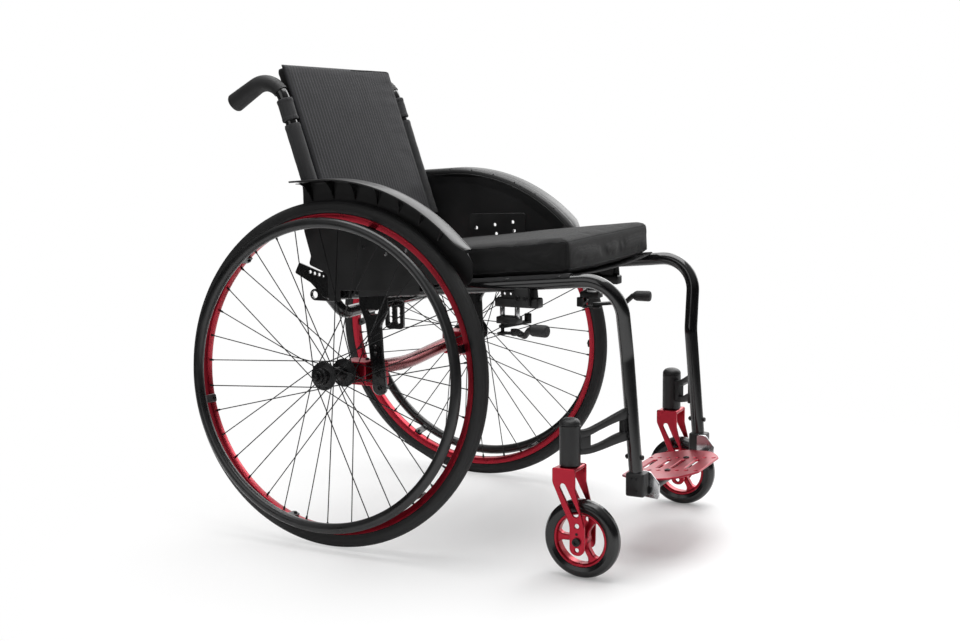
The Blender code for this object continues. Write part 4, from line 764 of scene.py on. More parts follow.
def caster_arms():
    outer = (
        (0.150, -0.4975, 0.2110, 0.2620), (0.166, -0.4950, 0.2110, 0.2620),
        (0.182, -0.4850, 0.2080, 0.2560), (0.202, -0.4680, 0.2010, 0.2450),
        (0.219, -0.4530, 0.1970, 0.2370), (0.233, -0.4360, 0.1970, 0.2350),
    )
    window = [(0.2265, 0.2470), (0.2265, 0.2470), (0.2225, 0.2435)]
    window += [(0.2125, 0.2345), (0.2075, 0.2260), (0.2065, 0.2235)]
    upper = [(x, y, w[1], high) for (x, y, _, high), w in zip(outer, window)]
    lower = [(x, y, low, w[0]) for (x, y, low, _), w in zip(outer, window)]
    pieces = [strip(smooth_stations(bar, 5), 0.0105, 0.0014) for bar in (upper, lower)]
    at_leg = ((0.150, -0.4975, 0.2115, 0.2615), (0.1702, -0.4928, 0.2112, 0.2600))
    at_housing = ((0.2150, -0.4568, 0.1985, 0.2375), (0.233, -0.4360, 0.1975, 0.2345))
    pieces += [strip(ends, 0.0100, 0.002) for ends in (at_leg, at_housing)]
    both("caster_bracket", joined(*pieces), "frame", "satin_black", "caster_arm_{}")
    foot = FORK_TOP + 0.0005
    seam = HOUSING_TOP - 0.0115
    r = HOUSING_RADIUS
    profile = [(0, foot), (r - 0.0012, foot), (r, foot + 0.0012)]
    profile += [(r, seam - 0.0008), (r - 0.0010, seam), (r, seam + 0.0008)]
    dome = 14
    base = seam + 0.0008
    for i in range(1, dome + 1):
        angle = math.pi / 2 * i / dome
        profile.append((r * math.cos(angle) ** 0.75, base + (HOUSING_TOP - base) * math.sin(angle)))
    both("caster_housing", shifted(lathe(profile), (CASTER_X, CASTER_Y, 0)), "frame", "satin_black")
    heads = [bolt((0.1635, -0.5009, z), (-0.25, -1, 0), 0.0028, 0.0018) for z in (0.2185, 0.2545)]
    screws("caster_bracket_screws", heads)


def hinge_plates():
    outline = rounded(
        (
            (-0.006, seat_z(0) - 0.008, 0.003), (0.050, seat_z(0.050) - 0.006, 0.006),
            (0.078, 0.441, 0.010), (0.1105, 0.457, 0.003), (0.101, 0.4755, 0.003), (0.052, 0.4595, 0.008),
            (HINGE_Y + 0.010, HINGE_Z + 0.011, 0.0095), (HINGE_Y - 0.010, HINGE_Z + 0.011, 0.0095),
            (-0.006, seat_z(0) + 0.009, 0.004),
        )
    )
    holes = [circle(p, 0.0030) for p in ((0.0785, 0.4600), (0.0695, 0.4577), (0.0602, 0.4560))]
    holes.append(circle((0.0516, 0.4535), 0.0020, 14))
    middle = SEAT_X + TUBE_RADIUS + 0.0023
    shape = side_plate(outline, middle, 0.0040, holes, 0.0005)
    pin = sweep(((CANE_X - 0.0115, HINGE_Y, HINGE_Z), (middle, HINGE_Y, HINGE_Z)), 0.0038)
    both("hinge_bracket", joined(shape, pin), "frame", "frame_black", "hinge_plate_{}")
    outside = middle + 0.0019
    heads = [bolt((outside, HINGE_Y, HINGE_Z), OUTBOARD, 0.0052, 0.0030)]
    heads += [bolt((outside, y, seat_z(y)), OUTBOARD, 0.0040, 0.0024) for y in (0.008, 0.036)]
    screws("hinge_screws", heads)


# Seat


def seat_sling():
    """A thin cover over both rails, sagging a little between them, with a hem at its front and its rear."""
    middle = TUBE_RADIUS + 0.0003 + 0.00075
    section = []
    for i in range(14):
        angle = math.radians(35 + 100 * i / 13)
        section.append(Vector((SEAT_X + middle * math.cos(angle), middle * math.sin(angle))))
    edge = section[-1]
    for i in range(1, 15):
        x = edge.x * (1 - i / 14)
        section.append(Vector((x, edge.y - SLING_SAG * (1 - (x / edge.x) ** 2))))
    line = section + [Vector((-p.x, p.y)) for p in reversed(section[:-1])]
    stations = (-0.4095, -0.4085, -0.3970, -0.3960, -0.30, -0.20, -0.10, -0.004, -0.003, 0.009, 0.0095)
    halves = (0.0006, 0.00085, 0.00085, 0.0006, 0.0006, 0.0006, 0.0006, 0.0006, 0.00085, 0.00085, 0.0006)
    rows = []
    for y, half in zip(stations, halves):
        upper = []
        lower = []
        for i, point in enumerate(line):
            along = (line[min(i + 1, len(line) - 1)] - line[max(i - 1, 0)]).normalized()
            normal = Vector((along.y, -along.x)) * half
            place = Vector((point.x, y, seat_z(y) + point.y))
            upper.append(place + Vector((normal.x, 0, normal.y)))
            lower.append(place - Vector((normal.x, 0, normal.y)))
        rows.append(upper + lower[::-1])
    sling = piece("sling_cover", grid(rows, caps=True), "frame", "sling_fabric", ["seat_sling"], crease=60)
    width = sum((b - a).length for a, b in zip(line, line[1:]))
    heads = []
    for y in (-0.392, -0.30, -0.20, -0.10):
        across, up = polar(1, math.radians(52))
        place = (SEAT_X + 0.0128 * across, y, seat_z(y) + 0.0128 * up)
        heads.append(bolt(place, (across, 0, up), 0.0030, 0.0010))
    screws("sling_rivets", heads)


def cushion_bottom(y, x):
    hollow = SLING_SAG * max(0, 1 - (x / SEAT_X) ** 2)
    return seat_z(y) + TUBE_RADIUS + 0.0021 - hollow - 0.0008


def cushion_place(u, v, w):
    """A point of the cushion from its place in a cube of side 2."""
    y = (CUSHION_FRONT_Y + CUSHION_REAR_Y) / 2 + v * (CUSHION_REAR_Y - CUSHION_FRONT_Y) / 2
    top = CUSHION_FRONT_TOP + (CUSHION_REAR_TOP - CUSHION_FRONT_TOP) * (v + 1) / 2
    low = cushion_bottom(y, u * CUSHION_HALF_WIDTH)
    crown = 0.004 * (1 - u * u) * (1 - v**4) * max(w, 0)
    x = u * (CUSHION_HALF_WIDTH - 0.0025 * (1 - w * w) - 0.0022 * (1 - v * v))
    lean = 0.0015 * (1 - w) * min(max(-v, 0), 1)
    return Vector((x, y - lean, low + (top - low) * (w + 1) / 2 + crown))


def soft_box(cells, place, roundness):
    """A box of fine cells with rounded edges, placed by a function of its unit cube."""
    form = bmesh.new()
    bmesh.ops.create_cube(form, size=2)
    for axis, count in enumerate(cells):
        direction = Vector([float(axis == k) for k in range(3)])
        for i in range(1, count):
            everything = list(form.verts) + list(form.edges) + list(form.faces)
            place_of_cut = direction * (2 * i / count - 1)
            bmesh.ops.bisect_plane(form, geom=everything, plane_co=place_of_cut, plane_no=direction)
    form.verts.index_update()
    points = []
    for vertex in form.verts:
        cube = [math.sin(c * math.pi / 2) for c in vertex.co]
        inner = [max(-1 + r, min(1 - r, c)) for c, r in zip(cube, roundness)]
        out = Vector([(c - i) / r for c, i, r in zip(cube, inner, roundness)])
        if out.length > 1:
            out.normalize()
        points.append(place(*(i + o * r for i, o, r in zip(inner, out, roundness))))
    faces = [tuple(v.index for v in f.verts) for f in form.faces]
    form.free()
    return points, faces


def puff(obj, pressure, cap):
    """Inflates a soft form by a cloth simulation, with a limit on how far its points move."""
    frames = 20
    remesh = obj.modifiers.new("voxels", "REMESH")
    remesh.mode = "VOXEL"
    remesh.voxel_size = 0.005
    finish = obj.data.materials[0]
    applied(obj)
    mesh = obj.data
    mesh.materials.clear()
    mesh.materials.append(finish)
    before = [v.co.copy() for v in mesh.vertices]
    cloth = obj.modifiers.new("cloth", "CLOTH")
    cloth.settings.use_pressure = True
    cloth.settings.uniform_pressure_force = pressure
    cloth.settings.quality = 4
    cloth.settings.tension_stiffness = 20
    cloth.settings.compression_stiffness = 20
    cloth.settings.bending_stiffness = 2.0
    cloth.settings.effector_weights.gravity = 0
    cloth.point_cache.frame_start = 1
    cloth.point_cache.frame_end = frames
    for number in range(1, frames + 1):
        bpy.context.scene.frame_set(number)
    graph = bpy.context.evaluated_depsgraph_get()
    swollen = obj.evaluated_get(graph).to_mesh()
    after = [v.co.copy() for v in swollen.vertices]
    obj.evaluated_get(graph).to_mesh_clear()
    obj.modifiers.clear()
    bpy.context.scene.frame_set(1)
    for vertex, start, end in zip(mesh.vertices, before, after):
        move = end - start
        if move.length > cap:
            move *= cap / move.length
        vertex.co = start + move


def applied(obj):
    """Puts the piece's modifiers into its mesh."""
    graph = bpy.context.evaluated_depsgraph_get()
    mesh = bpy.data.meshes.new_from_object(obj.evaluated_get(graph))
    obj.modifiers.clear()
    obj.data = mesh


def subdivide(obj):
    soft = obj.modifiers.new("soft", "SUBSURF")
    soft.levels = 1
    soft.render_levels = 1
    applied(obj)


def on_surface(obj, places, lift):
    """Each place moved to the nearest point of the piece's surface."""
    graph = bpy.context.evaluated_depsgraph_get()
    tree = BVHTree.FromObject(obj, graph)
    found = []
    for place in places:
        hit, normal, _, _ = tree.find_nearest(Vector(place))
        found.append(hit + normal * lift)
    return found


def fine_path(corners, step):
    """Points along straight runs between corners, no further apart than about one step."""
    points = []
    for a, b in zip(corners, corners[1:]):
        a, b = Vector(a), Vector(b)
        count = max(1, int((b - a).length / step))
        points.extend(a.lerp(b, i / count) for i in range(count))
    return points + [Vector(corners[-1])]


def seat_cushion():
    shape = soft_box((40, 44, 10), cushion_place, (0.045, 0.045, 0.26))
    cushion = mesh_object("cushion", moved(shape, CHAIR), "seat_fabric", 60)
    shrink = 0.0025
    middle = sum((v.co for v in cushion.data.vertices), Vector()) / len(cushion.data.vertices)
    for vertex in cushion.data.vertices:
        away = vertex.co - middle
        vertex.co -= Vector([math.copysign(min(abs(c), shrink), c) for c in away])
    puff(cushion, 3.0, 0.0030)
    subdivide(cushion)
    for vertex in cushion.data.vertices:
        y = vertex.co.y - AXLE_Y
        floor = cushion_bottom(y, vertex.co.x)
        vertex.co.z = max(vertex.co.z, floor)
        ripple = noise.noise(vertex.co * 14) * 0.0008 + noise.noise(vertex.co * 40) * 0.0003
        share = min(1, max(0, (vertex.co.z - floor) / 0.02))
        vertex.co.z += ripple * share
    cushion.data.shade_smooth()
    seam_rings = []
    for w in (0.985, -0.90):
        corners = []
        for u, v in ((-1, -1), (1, -1), (1, 1), (-1, 1), (-1, -1)):
            corners.append(CHAIR @ cushion_place(u * 0.995, v * 0.995, w))
        path = on_surface(cushion, fine_path(corners, 0.004), 0.0001)[:-1]
        seam_rings.append(sweep(path, 0.0011 if w < 0 else 0.0007, 8, closed=True))
    for u in (-1, 1):
        for v in (-1, 1):
            corners = [CHAIR @ cushion_place(u, v, w) for w in (0.93, 0.5, 0, -0.5, -0.9)]
            path = on_surface(cushion, fine_path(corners, 0.003), 0.0001)
            seam_rings.append(sweep(path, 0.0008, 8))
    seams = mesh_object("cushion_seams", joined(*seam_rings), "sling_fabric")
    for obj in (cushion, seams):
        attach(obj, "frame")
        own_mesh(obj)
    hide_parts("seat_cushion")


# Side guards


def guard_angles(steps):
    first = math.asin(-GUARD_FRONT_Y / GUARD_RADIUS)
    return [first + (-GUARD_TAIL_SLOPE - first) * i / steps for i in range(steps + 1)]


def guard_arc(radius):
    """The guard's upper edge as (y, z): an arc about the axle, then a straight run to the rear."""
    arc = [(-radius * math.sin(a), WHEEL_Z + radius * math.cos(a)) for a in guard_angles(48)]
    end_y, end_z = arc[-1]
    return arc + [(GUARD_REAR_Y, end_z - (GUARD_REAR_Y - end_y) * math.tan(GUARD_TAIL_SLOPE))]


def arc_points(centre, radius, first, last, steps):
    points = []
    for i in range(steps + 1):
        x, y = polar(radius, math.radians(first + (last - first) * i / steps))
        points.append((centre[0] + x, centre[1] + y))
    return points


def guard_lip():
    """The rounded shoulder and lip over the tyre, swept along the guard's upper edge."""
    turn = 0.0095
    skin = 0.0026
    band = 0.030
    wide = GUARD_LIP_WIDTH
    section = [(0, -band), (0, -turn - 0.0016), (0.0007, -turn - 0.0008), (0, -turn)]
    section += arc_points((turn, -turn), turn, 180, 90, 8)[1:]
    section += [(turn + 0.0010, -0.0006), (turn + 0.0020, 0)]
    section += [(wide - 0.0015, 0), (wide - 0.0004, -0.0004), (wide, -0.0015), (wide - 0.0004, -0.0027)]
    section += [(wide - 0.0015, -0.0030)]
    section += arc_points((turn, -turn), turn - skin - 0.0004, 90, 180, 8)
    section += [(skin, -band)]
    rows = []
    for i, angle in enumerate(guard_angles(72)):
        taper = min(1.0, 0.60 + 0.40 * math.sin(min(1.0, i / 6) * math.pi / 2))
        row = []
        for across, up in section:
            z, y = polar(GUARD_RADIUS + up, angle)
            row.append((GUARD_X + across * taper, -y, WHEEL_Z + z))
        rows.append(row)
    last = rows[-1]
    for step in (0.25, 0.5, 0.75, 0.92, 1.0):
        row = []
        width = 1 if step < 0.7 else 1 - 0.35 * ((step - 0.7) / 0.3) ** 2
        for (across, up), place in zip(section, last):
            run = (GUARD_TIP_Y - 0.023) * step * (1 if up > -0.004 else 0.86)
            drop = run * math.tan(GUARD_TAIL_SLOPE)
            row.append((GUARD_X + across * width, place[1] + run, place[2] - drop))
        rows.append(row)
    return grid(rows, caps=True)


def gusset():
    """A fin with a hollow edge, from the lip's outer side down to the panel."""
    top = GUARD_RADIUS - 0.0020
    wall = GUARD_X + 0.0015
    outer = GUARD_X + GUARD_LIP_WIDTH - 0.0010
    drop = 0.036
    edge = []
    for i in range(13):
        t = i / 12
        edge.append((outer - (outer - wall) * t**0.55, top - 0.001 - drop * t**1.5))
    outline = [(wall, top), (outer, top)] + edge
    upright = Matrix.Rotation(math.pi / 2, 4, "X")
    return moved(plate(outline, 0.0022, (), 0.0004), upright)


def side_guards():
    lower = rounded(
        (
            (GUARD_REAR_Y, 0.560, 0), (GUARD_REAR_Y, 0.532, 0.024), (0.0675, 0.489, 0.008),
            (0.0720, 0.474, 0.005), (0.034, 0.460, 0.012), (0.033, 0.413, 0.004), (0.009, 0.413, 0.004),
            (0.009, 0.432, 0.002), (-0.093, 0.437, 0.040), (-0.170, 0.452, 0.030),
            (GUARD_FRONT_Y, 0.452, 0.016), (GUARD_FRONT_Y, 0.490, 0),
        )
    )
    holes = [circle(place, 0.0034) for place in GUARD_HOLES]
    outline = guard_arc(GUARD_RADIUS - 0.012) + lower
    panel = side_plate(outline, GUARD_X + GUARD_WALL / 2, GUARD_WALL, holes, 0.0005)
    fins = []
    for i in range(GUSSET_COUNT):
        turn = Matrix.Rotation(GUSSET_FIRST + i * GUSSET_PITCH, 4, "X")
        fins.append(moved(gusset(), Matrix.Translation((0, 0, WHEEL_Z)) @ turn))
    both("guard", joined(panel, guard_lip(), *fins), "frame", "guard_plastic", "side_guard_{}", crease=40)
    screw = bolt((GUARD_X + GUARD_WALL, *GUARD_HOLES[0]), OUTBOARD, 0.0030, 0.0018)
    piece("guard_screw_right", mirrored(screw), "frame", "spoke_black")


def guard_brackets():
    outer = GUARD_X - 0.0003
    inner = outer - 0.0018
    outline = rounded(
        (
            (-0.026, 0.536, 0.006), (-0.026, seat_z(-0.026) - 0.006, 0.003),
            (-0.146, seat_z(-0.146) - 0.006, 0.003), (-0.146, 0.540, 0.006),
        )
    )
    holes = [circle(place, 0.0034) for place in GUARD_HOLES]
    upright = side_plate(outline, (outer + inner) / 2, outer - inner, holes, 0.0004)
    foot_inner = 0.1945
    foot_y = -0.086
    centre = ((inner + foot_inner) / 2, foot_y, seat_z(foot_y) + 0.0025)
    foot = block((inner - foot_inner, 0.104, 0.014), centre, 0.001)
    both("guard_carrier", joined(upright, foot), "frame", "black_plastic", "guard_bracket_{}")


# Rear wheels, in a wheel's own frame: +Z outboard along the axle


def wheel_frame(sign):
    outboard = Vector((sign * math.cos(CAMBER), 0, math.sin(CAMBER)))
    front = Vector((0, -1, 0))
    turn = Matrix((front, outboard.cross(front), outboard)).transposed().to_4x4()
    return CHAIR @ Matrix.Translation((sign * WHEEL_X, 0, WHEEL_Z)) @ turn


def tyre():
    """The tyre, with fine grooves round its tread and a raised line on each side."""
    tread = math.radians(58)
    groove = 0.00045
    line_at = math.radians(98)
    line_width = math.radians(9)
    line_height = 0.00030
    profile = []
    for angle in (a - math.pi for a in angles(72)):
        radius = TYRE_SECTION
        if abs(angle) < tread:
            radius -= groove * max(0, math.cos(18 * angle + math.pi)) ** 2
        side = abs(abs(angle) - line_at)
        if side < line_width:
            radius += line_height * math.cos(side / line_width * math.pi / 2)
        across, up = polar(radius, angle)
        profile.append((WHEEL_RADIUS - TYRE_SECTION + across, up))
    return lathe(profile, ROUND_STEPS, closed=True)


def rim():
    half = RIM_HALF_WIDTH
    slope = (half - half * 0.7) / (RIM_EDGE - RIM_INNER)
    groove = RIM_EDGE - 0.0034
    at_groove = half - slope * (RIM_EDGE - groove)
    seat = RIM_EDGE - 0.0048
    outline = rounded(
        (
            (RIM_EDGE, half, 0.0006), (groove + 0.0004, at_groove, 0), (groove, at_groove - 0.0004, 0),
            (groove - 0.0004, at_groove, 0), (RIM_INNER, half * 0.7, 0.0022), (RIM_INNER - 0.0004, 0, 0),
            (RIM_INNER, -half * 0.7, 0.0022), (RIM_EDGE, -half, 0.0006), (seat, -half * 0.45, 0.0005),
            (seat, half * 0.45, 0.0005),
        ),
        4,
    )
    return lathe(outline, ROUND_STEPS, closed=True)


def hub_shell():
    z = HUB_HALF_LENGTH
    outline = rounded(
        (
            (0.0068, z, 0), (0.0128, z, 0.0012), (0.0140, z - 0.0030, 0.0012),
            (0.0140, OUTER_FLANGE + 0.0030, 0.0012), (0.0215, OUTER_FLANGE + 0.0018, 0.0010),
            (FLANGE_RADIUS, OUTER_FLANGE + 0.0015, 0.0012),
            (FLANGE_RADIUS, OUTER_FLANGE - 0.0015, 0.0012), (0.0190, OUTER_FLANGE - 0.0018, 0.0020),
            (0.0115, OUTER_FLANGE - 0.0070, 0.0040), (0.0112, 0, 0),
            (0.0115, INNER_FLANGE + 0.0070, 0.0040), (0.0190, INNER_FLANGE + 0.0018, 0.0020),
            (FLANGE_RADIUS, INNER_FLANGE + 0.0015, 0.0012),
            (FLANGE_RADIUS, INNER_FLANGE - 0.0015, 0.0012), (0.0215, INNER_FLANGE - 0.0018, 0.0010),
            (0.0140, INNER_FLANGE - 0.0030, 0.0012), (0.0140, 0.002 - z, 0.0010), (0.0068, -z, 0),
        ),
        3,
    )
    return lathe(outline, 64, closed=True)


def spokes():
    """Spokes laced over three others, each with its head in the flange and its nipple at the rim."""
    wires = []
    nipples = []
    hole_radius = FLANGE_RADIUS - 0.0030
    for i, angle in enumerate(angles(SPOKE_COUNT)):
        outboard = i % 2 == 0
        leading = (i // 2) % 2 == 0
        lane = SPOKE_LANE if leading else -SPOKE_LANE
        flange = OUTER_FLANGE if outboard else INNER_FLANGE
        root = angle - SPOKE_CROSS if leading else angle + SPOKE_CROSS
        at_rim = (SPOKE_RIM_OFFSET if outboard else -SPOKE_RIM_OFFSET) + lane
        start = Vector((*polar(hole_radius, root), flange + lane))
        end = Vector((*polar(RIM_INNER, angle), at_rim))
        heading = (end - start).normalized()
        head = Vector((start.x, start.y, flange - lane * 2.1))
        elbow = Vector((start.x, start.y, flange + lane * 0.9))
        wires.append(sweep((head, elbow, start + heading * 0.0016, end), 0.00095, 8))
        knob = lathe(((0, 0.0009), (0.0012, 0.0007), (0.0018, 0), (0, 0)), 10)
        wires.append(moved(knob, aim((0, 0, -math.copysign(1, lane)), head)))
        path = [end - heading * NIPPLE_LENGTH * t for t in (1, 0.85, 0.4, -0.1)]
        nipples.append(sweep(path, [0.0013, 0.0017, 0.0019, 0.0021], 10))
    return joined(*wires), joined(*nipples)


def push_hoop():
    return lathe(circle((HANDRIM_RADIUS, HANDRIM_OFFSET), HANDRIM_TUBE, 28), ROUND_STEPS, closed=True)


def tab():
    """A flat tab from under the rim to the push hoop, drawn at the wheel's +X."""
    inner = RIM_INNER - 0.0016
    corners = [(-0.0075, -0.004, 0.004), (0.0075, -0.004, 0.004)]
    outline = rounded(corners + [(0.0062, 0.036, 0.003), (-0.0062, 0.036, 0.003)])
    strap = side_plate(outline, inner - 0.0015, 0.0030)
    weld = lathe(((0, -0.0030), (0.0070, -0.0022), (0.0078, 0), (0, 0)), 20)
    return joined(strap, moved(weld, aim(OUTBOARD, (inner - 0.0036, 0, 0.031))))


def wheels():
    wires, nipples = spokes()
    tabs = []
    tab_screws = []
    for angle in angles(TAB_COUNT):
        turn = Matrix.Rotation(TAB_PHASE + angle, 4, "Z")
        tabs.append(moved(tab(), turn))
        tab_screws.append(moved(bolt((RIM_INNER - 0.0044, 0, 0.0015), (-1, 0, 0), 0.0030, 0.0022), turn))
    head = HUB_HALF_LENGTH + 0.0003
    head_top = head + 0.0057
    pin = rounded(
        (
            (0.0047, head_top, 0.0004), (0.0095, head_top, 0.0012), (0.0095, head, 0),
            (0.0063, head, 0), (0.0063, -0.0790, 0.0010), (0.0047, -0.0790, 0),
        ),
        3,
    )
    button_end = head_top + 0.0065
    button = [(0, button_end), (0.0030, button_end), (0.0038, button_end - 0.0004)]
    button += [(0.0042, button_end - 0.0012), (0.0042, head - 0.013), (0, head - 0.013)]
    pin = lathe(pin, 40, closed=True)
    button = lathe(button, 32)
    hoop = joined(push_hoop(), *tabs)
    for side, sign in SIDES.items():
        body = "wheel_{}"
        place = wheel_frame(sign)
        spun = place @ Matrix.Rotation(WHEEL_SPIN[side], 4, "Z")
        sided(side, "tyre_cover", tyre(), body, "tyre_rubber", "tyre_{}", place, 50)
        sided(side, "wheel_rim", rim(), body, "red_anodised", "rim_{}", place)
        sided(side, "hub_shell", hub_shell(), body, "spoke_black", "hub_{}", place)
        sided(side, "spokes", wires, body, "spoke_black", at=spun)
        sided(side, "nipples", nipples, body, "spoke_black", at=spun)
        sided(side, "push_hoop", hoop, body, "handrim_black", "handrim_{}", spun)
        sided(side, "hoop_screws", joined(*tab_screws), body, "spoke_black", at=spun)
        sided(side, "release_pin", pin, "frame", "spoke_black", "axle_pin_{}", place)
        sided(side, "pin_button", button, "button_{}", "spoke_black", "release_button_{}", place)


# Casters


def caster_fork():
    front = -0.0185
    trail = -CASTER_TRAIL
    leg = rounded(
        (
            (0.0205, FORK_TOP, 0.003), (0.0205, 0.156, 0.014), (trail + 0.0125, 0.090, 0.030),
            (trail + 0.0125, 0.041, 0.0118), (trail - 0.0125, 0.041, 0.0118),
            (trail - 0.0135, 0.085, 0.030), (front, 0.150, 0.014), (front, FORK_TOP, 0.003),
        ),
        8,
    )
    holes = [
        slot((0.0025, 0.1505), (trail + 0.0020, 0.1080), 0.0100),
        circle((trail, 0.0890), 0.0040),
        circle((trail, 0.0500), 0.0035),
    ]
    legs = [side_plate(leg, sign * 0.0220, 0.0040, holes, 0.0009) for sign in (-1, 1)]
    crown = block((0.0478, 0.0375, 0.0065), (0, (0.0205 + front) / 2, FORK_TOP - 0.0035), 0.0028, 4)
    low, high = FORK_TOP - 0.001, FORK_TOP + 0.0006
    washer = lathe(((0, high), (0.0125, high), (0.0125, low), (0, low)), 32)
    return joined(crown, *legs), washer


def caster_tyre():
    outline = rounded(
        (
            (0.0636, 0.0040, 0.006), (0.0636, -0.0040, 0.006), (0.0588, -0.0128, 0.008),
            (0.0520, -0.0136, 0.004), (0.0450, -0.0106, 0.001), (0.0450, 0.0106, 0.001),
            (0.0520, 0.0136, 0.004), (0.0588, 0.0128, 0.008),
        ),
        7,
    )
    return lathe(outline, 96, closed=True)


def caster_rim():
    """The rim's band, its hub and three broad spokes that widen at both ends."""
    band = lathe(
        rounded(
            (
                (0.0447, 0.0105, 0.0006), (0.0447, -0.0105, 0.0006), (0.0418, -0.0105, 0.0006),
                (0.0396, -0.0070, 0.0020), (0.0396, 0.0070, 0.0020), (0.0418, 0.0105, 0.0006),
            ),
            3,
        ),
        96,
        closed=True,
    )
    core = lathe(
        rounded(
            (
                (0.0120, 0.0080, 0.0010), (0.0120, -0.0080, 0.0010), (0.0080, -0.0105, 0.0010),
                (0.0072, -0.0194, 0.0004), (0.0042, -0.0194, 0), (0.0042, 0.0194, 0),
                (0.0072, 0.0194, 0.0004), (0.0080, 0.0105, 0.0010),
            ),
            3,
        ),
        48,
        closed=True,
    )
    parts = [band, core]
    arm = rounded(
        (
            (0.0095, -0.0085, 0), (0.0180, -0.0046, 0.008), (0.0330, -0.0050, 0.010),
            (0.0405, -0.0115, 0), (0.0405, 0.0115, 0), (0.0330, 0.0050, 0.010), (0.0180, 0.0046, 0.008),
            (0.0095, 0.0085, 0),
        )
    )
    for angle in angles(3):
        turn = Matrix.Rotation(angle + CASTER_PHASE, 4, "Z")
        parts.append(moved(plate(arm, 0.0118, (), 0.0014), turn))
    return joined(*parts)


def casters():
    fork, washer = caster_fork()
    across = Matrix.Rotation(math.pi / 2, 4, "Y")
    ends = [bolt((0, 0, sign * 0.0243), (0, 0, sign), 0.0068, 0.0040, 0.5) for sign in (-1, 1)]
    axle = joined(sweep(((0, 0, -0.0242), (0, 0, 0.0242)), 0.0040, 20), *ends)
    studs = []
    for sign in (-1, 1):
        studs.append(bolt((sign * 0.0238, -CASTER_TRAIL, 0.0760), (sign, 0, 0), 0.0022, 0.0012))
    for side, sign in SIDES.items():
        swivel = CHAIR @ Matrix.Translation((sign * CASTER_X, CASTER_Y, 0))
        wheel = swivel @ Matrix.Translation((0, -CASTER_TRAIL, CASTER_Z)) @ across
        sided(side, "fork", fork, "fork_{}", "red_anodised", "caster_fork_{}", swivel)
        sided(side, "fork_washer", washer, "fork_{}", "bright_steel", at=swivel)
        sided(side, "fork_bolt", axle, "fork_{}", "spoke_black", "caster_axle_{}", wheel)
        sided(side, "fork_studs", joined(*studs), "fork_{}", "spoke_black", at=swivel)
        sided(side, "caster_wheel", caster_rim(), "caster_{}", "red_anodised", "caster_rim_{}", wheel)
        sided(side, "caster_tread", caster_tyre(), "caster_{}", "caster_rubber", "caster_tyre_{}", wheel)


# Brakes


